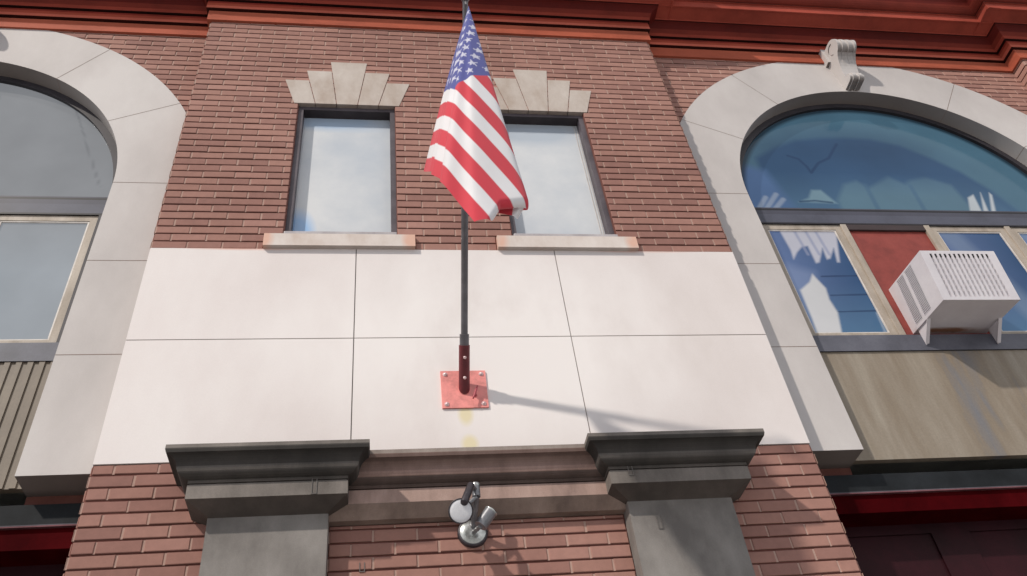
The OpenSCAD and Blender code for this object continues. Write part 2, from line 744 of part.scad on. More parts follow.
// Two courses of three slabs
module stone_panel() color(limestone) front() {
    x = [-bay_in_x, -panel_joint_x, panel_joint_x, bay_in_x];
    z = [panel_foot_z, panel_joint_z, panel_top_z];
    g = stone_joint / 2;
    for (i = [0:2], j = [0:1])
        block([x[i] + (i > 0 ? g : 0), stone_y, z[j] + (j > 0 ? g : 0)],
            [x[i + 1] - (i < 2 ? g : 0), panel_t, z[j + 1] - (j < 1 ? g : 0)]);
}

module window_arches() color(buff_stone) front() at_both(window_x)
    translate([0, 0, window_head_z]) elevation(stone_y, dressing_t) flat_arch_outline();

module front_window_sills() color(buff_stone) front() at_both(window_x) along_x(-sill_w / 2, sill_w / 2, 0)
    polygon([[-sill_proud, panel_top_z], [dressing_t, panel_top_z], [dressing_t, window_sill_z],
        [front_reveal, window_sill_z], [-sill_proud, window_sill_z - sill_fall]]);

module front_window_frames() color(bronze) front() at_both(window_x) translate([0, front_reveal, 0])
    difference() {
        block([-window_w / 2, 0, window_sill_z], [window_w / 2, front_frame_t, window_head_z]);
        block([-window_w / 2 + front_bar_w, -eps, window_sill_z + front_bar_w],
            [window_w / 2 - front_bar_w, front_frame_t + eps, window_head_z - front_bar_w]);
    }

// Panes of the two flat-headed windows, the door leaf and the light over the door
module front_glass() color(window_blue, 0.5) front() {
    at_both(window_x) translate([0, front_glass_y, 0])
        block([-window_w / 2 + front_bar_w, 0, window_sill_z + front_bar_w],
            [window_w / 2 - front_bar_w, glass_t, window_head_z - front_bar_w]);
    translate([0, leaf_y + (leaf_t - glass_t) / 2, ground_floor_t]) {
        w = entrance_w / 2 - entrance_frame_w;
        block([-w + stile_w, 0, lock_rail_z], [w - stile_w, glass_t, leaf_glass_top]);
        block([-w, 0, leaf_h + entrance_frame_w], [w, glass_t, entrance_h - entrance_frame_w]);
    }
}

// Moulded profile of the entablature, as (outward projection, level) with the wall on x = 0: its foot
// stands out by lead, its band by frieze; low and crown are the levels of the band's and crown's feet
function entablature_profile(proj, top, foot, lead, frieze, low, crown) =
    let (e = proj - frieze, q = (top - crown) / 3, g = groove_h) concat(
    [[0, foot], [lead, foot], [frieze, low], [frieze, crown - 3 * g], [frieze - g, crown - 3 * g],
     [frieze - g, crown - 2 * g], [frieze, crown - 2 * g]],
    oval_arc([frieze, crown + q], [e / 2, q], -90, 0, 6),
    oval_arc([proj - 0.05 * e, crown + q], [0.45 * e, q], cyma_start, 90, 6),
    [[proj, crown + 2.3 * q], [proj, top - g], [0, top]]);

// A moulding on the plane y from x0 to x1, with true mitred returns at both ends, over a core of the
// given depth
module mitred(x0, x1, y, depth, proj, pts) {
    top = pts[len(pts) - 1][1];
    intersection() {
        along_x(x0 - proj - eps, x1 + proj + eps, y) mirror([1, 0])
            polygon(concat([[-depth, pts[0][1]]], pts, [[-depth, top]]));
        elevation(y - proj - eps, y + depth) polygon(both_ways(x0, x1, pts));
    }
}

module entablature_blocks() color(grey_stone) front() at_both(pilaster_x)
    difference() {
        mitred(-block_w / 2, block_w / 2, 0, eps, block_proj,
            entablature_profile(block_proj, entablature_top_z, pilaster_top_z, pilaster_proj,
                2 * pilaster_proj, band_z, crown_z));
        block([-pilaster_w, 0, pilaster_top_z - eps], [pilaster_w, 2 * eps, panel_foot_z]);
    }

module entablature_middle() color("#7a655c") difference() {
    front() along_x(-pilaster_x, pilaster_x, 0) mirror([1, 0])
        polygon(entablature_profile(middle_proj, entablature_top_z, middle_foot_z, pilaster_proj / 2,
            pilaster_proj, band_z, crown_z));
    entablature_blocks();
    pilasters();
}

module pilasters() color(grey_stone) front() at_both(pilaster_x) {
    w = pilaster_w / 2;
    block([-w, -pilaster_proj, 0], [w, 0, pilaster_top_z]);
    block([-w - plinth_proud, -pilaster_proj - plinth_proud, 0], [w + plinth_proud, 0, plinth_h]);
}

module entrance_frame() color(bronze) front() translate([0, entrance_reveal, ground_floor_t]) difference() {
    w = entrance_w / 2;
    inner = w - entrance_frame_w;
    block([-w, 0, 0], [w, entrance_frame_t, entrance_h]);
    block([-inner, -eps, -eps], [inner, entrance_frame_t + eps, leaf_h]);
    block([-inner, -eps, leaf_h + entrance_frame_w],
        [inner, entrance_frame_t + eps, entrance_h - entrance_frame_w]);
}

module entrance_door() color(door_red) front() translate([0, leaf_y, ground_floor_t]) difference() {
    w = entrance_w / 2 - entrance_frame_w;
    block([-w, 0, 0], [w, leaf_t, leaf_h]);
    block([-w + stile_w, -eps, lock_rail_z], [w - stile_w, leaf_t + eps, leaf_glass_top]);
}

// Profile of the cornice as (outward projection, height over its foot): fascia, band, cove, soffit, corona
// and crown, each as a share of the cornice's projection and height
function cornice_profile() = [for (q = concat(
    [[0, 0], [0.06, 0], [0.06, 0.165], [0.04, 0.165], [0.04, 0.18], [0.105, 0.18], [0.105, 0.31],
     [0.08, 0.31], [0.08, 0.325]],
    oval_arc([0.34, 0.325], [0.2, 0.14], 180, cove_end, 8),
    [[0.34, 0.5], [0.585, 0.51], [0.6, 0.495], [0.625, 0.495], [0.625, 0.6], [0.655, 0.6], [0.655, 0.62]],
    curve([0.68, 0.62], [0.82, 0.64], [0.82, 0.8], [0.96, 0.84], 10),
    [[0.96, 0.85], [1, 0.85], [1, 0.9], [0, 1]])) [q[0] * cornice_proj, q[1] * cornice_h]];

module cornice() color(cornice_red) front() translate([0, 0, cornice_foot_z]) {
    pts = cornice_profile();
    top = cornice_h + eps;
    difference() {
        union() {
            mitred(-bay_in_x, bay_in_x, 0, bay_recess, cornice_proj, pts);
            mitred(-bay_out_x - eps, bay_out_x + eps, bay_recess, eps, cornice_proj, pts);
            at_both((bay_out_x + half_w) / 2)
                mitred(-end_pier_w / 2, end_pier_w / 2, 0, cornice_return, cornice_proj, pts);
        }
        block([-bay_in_x, 0, -eps], [bay_in_x, cornice_return + eps, top]);
        block([-bay_out_x - eps, bay_recess, -eps], [bay_out_x + eps, cornice_return + eps, top]);
        at_both((bay_out_x + half_w) / 2)
            block([-end_pier_w / 2, 0, -eps], [end_pier_w / 2, cornice_return + eps, top]);
        at_both(arch_x) translate([0, bay_recess, -cornice_foot_z]) elevation(-cornice_proj, eps) ear_front();
    }
}

// Stone lengths over the walls, which follow the front's recesses
module coping() color(buff_stone) front() translate([0, 0, wall_top_z]) {
    l = coping_lip;
    difference() {
        block([-half_w - l, -l, 0], [half_w + l, front_wall_t + l, coping_t]);
        at_both(arch_x) block([-door_bay_w / 2 + l, -l - eps, -eps],
            [door_bay_w / 2 - l, bay_recess - l, coping_t + eps]);
    }
    block([-half_w - l, building_depth - side_wall_t - l, 0],
        [half_w + l, building_depth + l, coping_t]);
    at_both(half_w - side_wall_t / 2)
        block([-side_wall_t / 2 - l, front_wall_t + l + stone_joint, 0],
            [side_wall_t / 2 + l, building_depth - side_wall_t - l - stone_joint, coping_t]);
}

// Places children at each plain window of a wall of the given length, about its middle
module along_wall(length, count) for (i = [0:count - 1], z = [plain_low_z, window_sill_z])
    translate([(i + 0.5) * length / count - length / 2, 0, z]) children();

// Places children, drawn on a wall that faces -Y, at each window of one side wall
module on_side_wall(side) translate([side * half_w, front_wall_t / 2, 0]) rotate([0, 0, side * 90])
    along_wall(building_depth - front_wall_t, side_windows) children();

// The same for the rear wall
module on_rear_wall() translate([0, rear_y, 0]) rotate([0, 0, 180])
    along_wall(2 * half_w, rear_windows) children();

module on_plain_walls() {
    for (side = [-1, 1]) on_side_wall(side) children();
    on_rear_wall() children();
}

module plain_opening() block([-plain_w / 2, -eps, 0], [plain_w / 2, side_wall_t + eps, plain_h]);

module plain_sill(extra) block([-plain_w / 2 - plain_sill_lap, -sill_proud, -plain_sill_h],
    [plain_w / 2 + plain_sill_lap, dressing_t, extra]);

module side_wall(side) color(brick) difference() {
    front() block([min(side * side_inner_x, side * half_w), front_wall_t, 0],
        [max(side * side_inner_x, side * half_w), building_depth, wall_top_z]);
    on_side_wall(side) plain_opening();
    on_side_wall(side) plain_sill(eps);
}

module rear_wall() color(brick) difference() {
    front() block([-side_inner_x, building_depth - side_wall_t, 0],
        [side_inner_x, building_depth, wall_top_z]);
    on_rear_wall() plain_opening();
    on_rear_wall() plain_sill(eps);
}

module plain_window_frames() color(bronze) on_plain_walls() translate([0, plain_reveal, 0]) difference() {
    block([-plain_w / 2, 0, 0], [plain_w / 2, plain_frame_t, plain_h]);
    block([-plain_w / 2 + frame_w, -eps, frame_w],
        [plain_w / 2 - frame_w, plain_frame_t + eps, plain_h - frame_w]);
}

module plain_window_glass() color(window_blue, 0.5) on_plain_walls()
    translate([0, plain_reveal + plain_frame_t / 2, 0])
        block([-plain_w / 2 + frame_w, 0, frame_w], [plain_w / 2 - frame_w, glass_t, plain_h - frame_w]);

module plain_window_sills() color(buff_stone) on_plain_walls() plain_sill(0);

// Moves children onto the pole's axis, with Z along the pole
module on_pole(s) front() translate([bracket_x, stone_y - bracket_plate_t, bracket_z])
    rotate([90 - pole_angle, 0, 0]) translate([0, 0, s]) children();

// A tube in two lengths with a collar over the socket, a ball, and the ring and clip of the flag
module flagpole() color("#8a8a90") {
    on_pole(socket_floor) cylinder(h = pole_joint_s - socket_floor, d = pole_d);
    on_pole(pole_joint_s - eps) cylinder(h = pole_len - pole_joint_s, d = pole_tip_d);
    on_pole(socket_len) cylinder(h = collar_len, d = pole_d + 2 * collar_t);
    on_pole(pole_len) sphere(d = ball_d);
    on_pole(flag_ring_s - ring_h / 2) cylinder(h = ring_h, d = pole_tip_d + 2 * collar_t);
    front() translate(flag_top + [0, 0, soft_gap]) cylinder(h = clip_len, d = clip_d);
}

module pole_bracket() color("#c24a42") {
    half = bracket_plate / 2;
    face = stone_y - bracket_plate_t;
    front() translate([bracket_x, 0, bracket_z]) block([-half, face, -half], [half, stone_y, half]);
    difference() {
        on_pole(-socket_floor) cylinder(h = socket_len + socket_floor, d = socket_d);
        on_pole(socket_floor) cylinder(h = socket_len, d = pole_d);
        front() translate([bracket_x, 0, bracket_z]) block([-half, face, -half], [half, socket_len, half]);
    }
}

// A plain closed solid that fills the space of the hanging cloth
module flag() color("#b04a55") front() translate(flag_top) hull() {
    translate([0, 0, -clip_d / 2]) cube(clip_d, center = true);
    for (corner = [flag_hoist * flag_hoist_way, flag_drop * flag_drop_way, 0.92 * flag_drop * flag_side_way])
        translate(corner) cube(flag_edge_t, center = true);
}

// A canopy, an arm with a light sensor, a lamp and an empty lamp holder
module floodlight() color("#b9babd") front() translate([lamp_x, 0, lamp_z]) {
    r = lamp_reach;
    rotate([90, 0, 0]) cylinder(h = lamp_canopy_t, d = lamp_canopy_d);
    rod([0, -lamp_canopy_t / 2, 0], r * sensor_foot, 1.3 * lamp_arm_d);
    translate(r * sensor_foot) cylinder(h = sensor_h, d = sensor_d);
    rod(r * sensor_foot, r * lamp_back, lamp_arm_d);
    aimed(r * lamp_back, r * lamp_face) rotate_extrude()
        polygon([[0, -lamp_len * 0.3], [lamp_d * 0.26, -lamp_len * 0.3], [lamp_d * 0.28, lamp_len * 0.2],
            [lamp_d * 0.42, lamp_len * 0.55], [lamp_d * 0.5, lamp_len * 0.82], [lamp_d * 0.5, lamp_len],
            [0, lamp_len]]);
    rod(r * sensor_foot + [0, 0, sensor_h / 2], r * stem_top, lamp_arm_d);
    rod(r * stem_top, r * stem_foot, 1.5 * lamp_arm_d);
    rod([0, -lamp_canopy_t / 2, 0], r * holder_foot, lamp_arm_d);
    difference() {
        rod(r * holder_foot, r * holder_rim, lamp_socket_d);
        rod(r * (holder_foot + holder_rim) / 2, r * (1.2 * holder_rim - 0.2 * holder_foot),
            0.8 * lamp_socket_d);
    }
}

ground_floor();
upper_floor();
roof_deck();
centre_bay_lower_wall();
centre_bay_upper_wall();
end_piers();
arch_wall(-1);  // left_arch_wall
arch_wall(1);  // right_arch_wall
arch_surround(-1);  // left_arch_surround
arch_surround(1);  // right_arch_surround
scroll_keystones();
door_lintels();
left_spandrel_panel();
right_spandrel_panel();
window_sill_bars();
arch_window_frames();
arch_window_glass();
wooden_sashes();
blanking_board();
air_conditioner();
air_conditioner_brackets();
vehicle_doors();
vehicle_door_trim();
stone_panel();
window_arches();
front_window_sills();
front_window_frames();
front_glass();
entablature_blocks();
entablature_middle();
pilasters();
entrance_door();
entrance_frame();
cornice();
coping();
side_wall(-1);  // left_side_wall
side_wall(1);  // right_side_wall
rear_wall();
plain_window_frames();
plain_window_glass();
plain_window_sills();
flagpole();
pole_bracket();
flag();
floodlight();
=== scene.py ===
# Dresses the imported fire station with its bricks, stone, paint, glass and cloth.
# Metres in the frame of the model: X along the street front, Y into the building, Z up.
import json
import math
import bpy
import numpy as np
from mathutils import Matrix


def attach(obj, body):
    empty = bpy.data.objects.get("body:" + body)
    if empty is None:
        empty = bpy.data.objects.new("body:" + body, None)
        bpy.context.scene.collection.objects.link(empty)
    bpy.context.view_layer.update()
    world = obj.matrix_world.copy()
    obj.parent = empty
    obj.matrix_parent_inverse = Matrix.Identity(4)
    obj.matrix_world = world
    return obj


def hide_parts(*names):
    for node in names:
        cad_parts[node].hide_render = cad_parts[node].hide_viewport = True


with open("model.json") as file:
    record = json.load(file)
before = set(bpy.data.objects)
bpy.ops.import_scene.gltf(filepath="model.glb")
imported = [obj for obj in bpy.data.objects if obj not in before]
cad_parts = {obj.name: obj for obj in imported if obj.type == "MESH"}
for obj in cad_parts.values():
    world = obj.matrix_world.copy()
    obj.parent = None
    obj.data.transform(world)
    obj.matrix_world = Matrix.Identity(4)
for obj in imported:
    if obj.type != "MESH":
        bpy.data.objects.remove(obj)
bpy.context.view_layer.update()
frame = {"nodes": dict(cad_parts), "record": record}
nodes = frame["nodes"]
bpy.context.scene.view_settings.view_transform = "Standard"
print("frame loaded")

# The facade as the model has it, in metres
f = {
    "frontY": -8.0, "rearY": 8.0, "halfWidth": 6.5, "bayInX": 1.85, "bayOutX": 5.55, "archX": 3.7,
    "recess": 0.15, "wallTop": 9.4, "corniceFoot": 8.15, "corniceTop": 8.98, "springZ": 6.267,
    "panelFoot": 3.975, "panelTop": 5.48, "sillZ": 5.61, "sillHalf": 0.465, "headZ": 7.04, "windowX": 0.728,
    "windowW": 0.705, "lintelTop": 3.932, "lintelFoot": 3.81, "doorHalf": 0.625, "doorTop": 2.72,
    "pilasterX": 0.99, "pilasterHalf": 0.27, "pilasterTop": 3.615, "blocksHalf": 1.15, "blocksFoot": 3.6,
    "blocksTop": 3.895, "archOuter": 1.96, "pierX": 6.025, "pierHalf": 0.475, "reveal": 0.12,
}
y0 = f["frontY"]


def toLinear(hexText):
    # Each sRGB channel goes through the standard curve: straight below 0.04045, a power of 2.4 above
    values = [int(hexText[i:i + 2], 16) / 255 for i in (1, 3, 5)]
    return [v / 12.92 if v <= 0.04045 else ((v + 0.055) / 1.055) ** 2.4 for v in values] + [1.0]


def addNode(tree, kind, settings=None, links=None):
    # Settings are input values, properties or the stops of a colour ramp; a link comes from an output, or
    # from a node and then from its first output
    node = tree.nodes.new("ShaderNode" + kind)
    for key, value in (settings or {}).items():
        if key == "stops":
            elements = node.color_ramp.elements
            while len(elements) < len(value):
                elements.new(0.5)
            for element, (position, tone) in zip(elements, value):
                element.position = position
                element.color = toLinear(tone) if isinstance(tone, str) else (tone, tone, tone, 1.0)
        elif isinstance(key, int) or key in node.inputs:
            node.inputs[key].default_value = value
        else:
            setattr(node, key, value)
    for key, source in (links or {}).items():
        tree.links.new(getattr(source, "outputs", [source])[0], node.inputs[key])
    return node


def startMaterial(name, sockets):
    # A Principled material with its sockets set, and the places that its patterns read
    material = bpy.data.materials.new(name)
    material.use_nodes = True
    tree = material.node_tree
    shader = tree.nodes["Principled BSDF"]
    for key, value in sockets.items():
        shader.inputs[key].default_value = value
    coords = addNode(tree, "TexCoord").outputs
    return material, tree, shader, coords


def multiplied(tree, first, second, share=1.0):
    # The second input is a colour, or a grey value, that darkens the first by the given share
    node = addNode(tree, "Mix", {"data_type": "RGBA", "blend_type": "MULTIPLY", 0: share},
        {6: first, 7: second})
    return node.outputs[2]


def weathered(name, tones, patchSize, grainSize, bumpDepth, rough, stretchZ=1.0, grainMix=0.35, sootAndShade=0.0,
        bands=None, bandAxis="Z", stainsAndPaintedLight=(), gloss=0.5, metal=0.0):
    # Patches blend the tones and a fine grain darkens them; bands are (metres along an axis, colour) under
    # the patches, which then only shade them, and some finishes use them for painted shade and highlights;
    # stains are (middle, half sizes, colour): real stains, and in some finishes painted light; the soot
    # share darkens what faces down, a painted shade that also stands for soot
    sockets = {"Roughness": rough, "Specular IOR Level": gloss, "Metallic": metal}
    material, tree, shader, coords = startMaterial(name, sockets)
    place = addNode(tree, "Mapping", {"Scale": (1, 1, stretchZ)}, {"Vector": coords["Object"]})
    patch = addNode(tree, "TexNoise", {"Scale": 1 / patchSize, "Detail": 6.0, "Roughness": 0.62},
        {"Vector": place})
    grain = addNode(tree, "TexNoise", {"Scale": 1 / grainSize, "Detail": 3.0, "Roughness": 0.6},
        {"Vector": coords["Object"]})
    low, span = 0.32, 0.36  # the part of the noise's range that the tones share out
    stops = [(low + span * i / (len(tones) - 1), tone) for i, tone in enumerate(tones)]
    colour = addNode(tree, "ValToRGB", {"stops": stops}, {"Fac": patch}).outputs["Color"]
    if bands:
        low, high = bands[0][0], bands[-1][0]
        axes = addNode(tree, "SeparateXYZ", {}, {0: coords["Object"]})
        share = addNode(tree, "MapRange", {"From Min": low, "From Max": high},
            {"Value": axes.outputs[bandAxis]})
        stops = [((at - low) / (high - low), tone) for at, tone in bands]
        level = addNode(tree, "ValToRGB", {"stops": stops}, {"Fac": share})
        level.color_ramp.interpolation = "CONSTANT"
        colour = multiplied(tree, level, colour)
    speck = addNode(tree, "ValToRGB", {"stops": [(0.3, 0.62), (0.7, 1.0)]}, {"Fac": grain})
    colour = multiplied(tree, colour, speck, grainMix)
    for middle, sizes, tone in stainsAndPaintedLight:
        # Each stain is a soft ball of colour, in some finishes a real stain and in others a patch of painted
        # light
        spot = addNode(tree, "Mapping", {"vector_type": "TEXTURE", "Location": middle, "Scale": sizes},
            {"Vector": coords["Object"]})
        ball = addNode(tree, "TexGradient", {"gradient_type": "SPHERICAL"}, {"Vector": spot})
        edge = addNode(tree, "Math", {"operation": "MULTIPLY", "use_clamp": True}, {0: ball.outputs["Fac"]})
        ragged = addNode(tree, "MapRange", {"From Min": 0.3, "From Max": 0.6, "To Min": 0.5, "To Max": 2.2},
            {"Value": patch})
        tree.links.new(ragged.outputs[0], edge.inputs[1])
        patched = addNode(tree, "Mix", {"data_type": "RGBA", 7: toLinear(tone)}, {0: edge, 6: colour})
        colour = patched.outputs[2]
    if sootAndShade > 0:
        # Painted shade, with soot: faces that point down are darkened towards a grey-brown
        facing = addNode(tree, "SeparateXYZ", {}, {0: coords["Normal"]})
        under = addNode(tree, "MapRange", {"From Min": -0.95, "From Max": -0.15},
            {"Value": facing.outputs["Z"]})
        undersideShade = addNode(tree, "ValToRGB", {"stops": [(0.0, "#6b5f57"), (1.0, "#ffffff")]}, {"Fac": under})
        colour = multiplied(tree, colour, undersideShade, sootAndShade)
    tree.links.new(colour, shader.inputs["Base Color"])
    height = addNode(tree, "Math", {"operation": "MULTIPLY_ADD", 1: 0.4}, {0: patch, 2: grain})
    bump = addNode(tree, "Bump", {"Strength": 0.6, "Distance": bumpDepth}, {"Height": height})
    tree.links.new(bump.outputs[0], shader.inputs["Normal"])
    return material


def fillMesh(name, points, faces):
    # A mesh straight from arrays; all its faces have the same number of corners
    mesh = bpy.data.meshes.new(name)
    points = np.asarray(points, dtype=np.float64).reshape(-1, 3)
    faces = np.asarray(faces, dtype=np.int32)
    size = faces.shape[1]
    mesh.vertices.add(len(points))
    mesh.vertices.foreach_set("co", points.ravel())
    mesh.loops.add(faces.size)
    mesh.loops.foreach_set("vertex_index", faces.ravel())
    mesh.polygons.add(len(faces))
    mesh.polygons.foreach_set("loop_start", np.arange(len(faces), dtype=np.int32) * size)
    mesh.update(calc_edges=True)
    return mesh


def joined(parts):
    # One list of points and one of faces from several, each part with its own numbering
    offsets = np.cumsum([0] + [len(points) for points, _ in parts])
    return (np.concatenate([np.asarray(points, dtype=float).reshape(-1, 3) for points, _ in parts]),
        np.concatenate([np.asarray(faces) + start for (_, faces), start in zip(parts, offsets)]))


def boxes(corners):
    # Closed boxes from pairs of opposite corners
    cube = np.array([[0, 0, 0], [1, 0, 0], [1, 1, 0], [0, 1, 0], [0, 0, 1], [1, 0, 1], [1, 1, 1], [0, 1, 1]])
    quads = np.array([[0, 3, 2, 1], [4, 5, 6, 7], [0, 1, 5, 4], [1, 2, 6, 5], [2, 3, 7, 6], [3, 0, 4, 7]])
    pairs = np.asarray(corners, dtype=float)
    points = pairs[:, None, 0] + cube[None] * (pairs[:, 1] - pairs[:, 0])[:, None]
    faces = np.arange(len(pairs))[:, None, None] * 8 + quads[None]
    return points.reshape(-1, 3), faces.reshape(-1, 4)


def gridFaces(rows, cols, closed=False):
    # Quads of a grid of points; closed joins the last column to the first
    i, j = np.meshgrid(np.arange(rows - 1), np.arange(cols if closed else cols - 1), indexing="ij")
    k = (j + 1) % cols
    return np.stack([i * cols + j, i * cols + k, (i + 1) * cols + k, (i + 1) * cols + j],
        axis=-1).reshape(-1, 4)


def unit(way):
    # Directions at length 1, each divided by the root of the sum of its squares
    return np.asarray(way, dtype=float) / np.linalg.norm(way, axis=-1, keepdims=True)


def ramp(value, start, end):
    # 0 at the start, 1 at the end and straight between
    return np.clip((value - start) / (end - start), 0, 1)


def turned(start, way, profile, sides=24):
    # A profile of (distance along the axis, radius) turned about the axis, from the start outwards
    way = unit(way)
    first = unit(np.cross([1.0, 0.0, 0.0] if abs(way[2]) > 0.9 else [0.0, 0.0, 1.0], way))
    profile = np.asarray(profile, dtype=float)
    angle = np.arange(sides) * 2 * np.pi / sides
    ring = np.cos(angle)[:, None] * first + np.sin(angle)[:, None] * np.cross(way, first)
    points = np.asarray(start) + profile[:, None, :1] * way + profile[:, None, 1:] * ring[None]
    return points.reshape(-1, 3), gridFaces(len(profile), sides, True)


def addPiece(name, shape, material, replaced=(), smooth=False):
    # The shape is a mesh, or points and faces for one
    mesh = fillMesh(name, *shape) if isinstance(shape, tuple) else shape
    piece = bpy.data.objects.new(name, mesh)
    bpy.context.scene.collection.objects.link(piece)
    mesh.materials.append(material)
    mesh.polygons.foreach_set("use_smooth", np.full(len(mesh.polygons), smooth))
    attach(piece, "root")
    if replaced:
        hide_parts(*replaced)
    return piece


# Camera, at the photograph's place and angle
view = {"place": (-0.478, -11.754, 1.6), "yaw": 12.161, "pitch": 42.821, "roll": -8.325, "lens": 29.72}
yaw, pitch, roll = (math.radians(view[k]) for k in ("yaw", "pitch", "roll"))
forward = np.array([math.sin(yaw) * math.cos(pitch), math.cos(yaw) * math.cos(pitch), math.sin(pitch)])
level = np.array([math.cos(yaw), -math.sin(yaw), 0.0])
upward = np.cross(level, forward)
rightward = math.cos(roll) * level + math.sin(roll) * upward
topward = -math.sin(roll) * level + math.cos(roll) * upward
lens = bpy.data.cameras.new("camera")
lens.lens = view["lens"]
lens.sensor_width = 36.0
lens.clip_end = 400.0
camera = bpy.data.objects.new("camera", lens)
bpy.context.scene.collection.objects.link(camera)
turn = np.eye(4)
turn[:3] = np.column_stack([rightward, topward, -forward, view["place"]])
camera.matrix_world = Matrix(turn.tolist())
bpy.context.scene.camera = camera

# Light: a sun from the upper left front, and an even sky that camera and mirrors see as white
light = {"sunWay": (1.05, 1.0, -1.25), "sun": 2.95, "sunTone": "#fff6ea", "sunAngle": 1.5, "sky": "#dfe6f2",
    "skyLevel": 0.6}
sunData = bpy.data.lights.new("sun", "SUN")
sunData.energy = light["sun"]
sunData.angle = math.radians(light["sunAngle"])
sunData.color = toLinear(light["sunTone"])[:3]
sun = bpy.data.objects.new("sun", sunData)
bpy.context.scene.collection.objects.link(sun)
away = -unit(light["sunWay"])
side = unit(np.cross([0, 0, 1], away))
sunTurn = np.eye(4)
sunTurn[:3, :3] = np.column_stack([side, np.cross(away, side), away])
sun.matrix_world = Matrix(sunTurn.tolist())
world = bpy.data.worlds.new("sky")
bpy.context.scene.world = world
world.use_nodes = True
skyTree = world.node_tree
skyTree.nodes.clear()
rays = addNode(skyTree, "LightPath")
seen = rays.outputs["Is Camera Ray"]
for kind in ("Is Glossy Ray", "Is Transmission Ray"):
    seen = addNode(skyTree, "Math", {"operation": "MAXIMUM"}, {0: seen, 1: rays.outputs[kind]})
dome = addNode(skyTree, "Background", {"Color": toLinear(light["sky"]), "Strength": light["skyLevel"]})
white = addNode(skyTree, "Background", {"Color": (1, 1, 1, 1), "Strength": 1.0})
both = addNode(skyTree, "MixShader", {}, {0: seen, 1: dome, 2: white})
addNode(skyTree, "OutputWorld", {}, {"Surface": both})

# Floor, an even pale grey, far wider than the view
reach = 120.0
floorCorners = [[-reach, -reach, 0], [reach, -reach, 0], [reach, reach, 0], [-reach, reach, 0]]
floor = bpy.data.objects.new("floor", fillMesh("floor", floorCorners, [[0, 1, 2, 3]]))
bpy.context.scene.collection.objects.link(floor)
floor.data.materials.append(startMaterial("pale_floor",
    {"Base Color": toLinear("#bdbcba"), "Roughness": 0.9})[0])
print("camera, light and floor set")

# Cornice and entablature levels with their paint and grime, from the foot up; the dark bands are painted
# shade and the pale edges painted highlights
cornicePaintAndShade = [(8.14, "#b9614a"), (8.287, "#3a100c"), (8.299, "#d16e5a"), (8.34, "#ac4f3d"),
    (8.38, "#8d3429"), (8.407, "#2c0a07"), (8.42, "#a14739"), (8.46, "#843429"), (8.5, "#681e19"),
    (8.535, "#3c0c09"), (8.553, "#b15243"), (8.648, "#320b08"), (8.66, "#8f3a2e"), (8.72, "#782821"),
    (8.845, "#9f4c3e"), (9.0, "#9f4c3e")]
blockStoneAndShade = [(3.61, "#6f655f"), (3.66, "#8d857f"), (3.738, "#665f5a"), (3.752, "#58534f"),
    (3.772, "#6d6763"), (3.80, "#47423f"), (3.83, "#4a4643"), (3.86, "#514c49"), (3.868, "#918983"),
    (3.9, "#918983")]
middleStoneAndShade = [(3.59, "#ad998e"), (3.66, "#c6aba1"), (3.735, "#6c5b55"), (3.752, "#766661"),
    (3.775, "#b3978e"), (3.80, "#9c837b"), (3.84, "#8a736c"), (3.866, "#a59a93"), (3.9, "#a59a93")]
paleShade = ["#d2d2d2", "#f0f0f0", "#ffffff"]
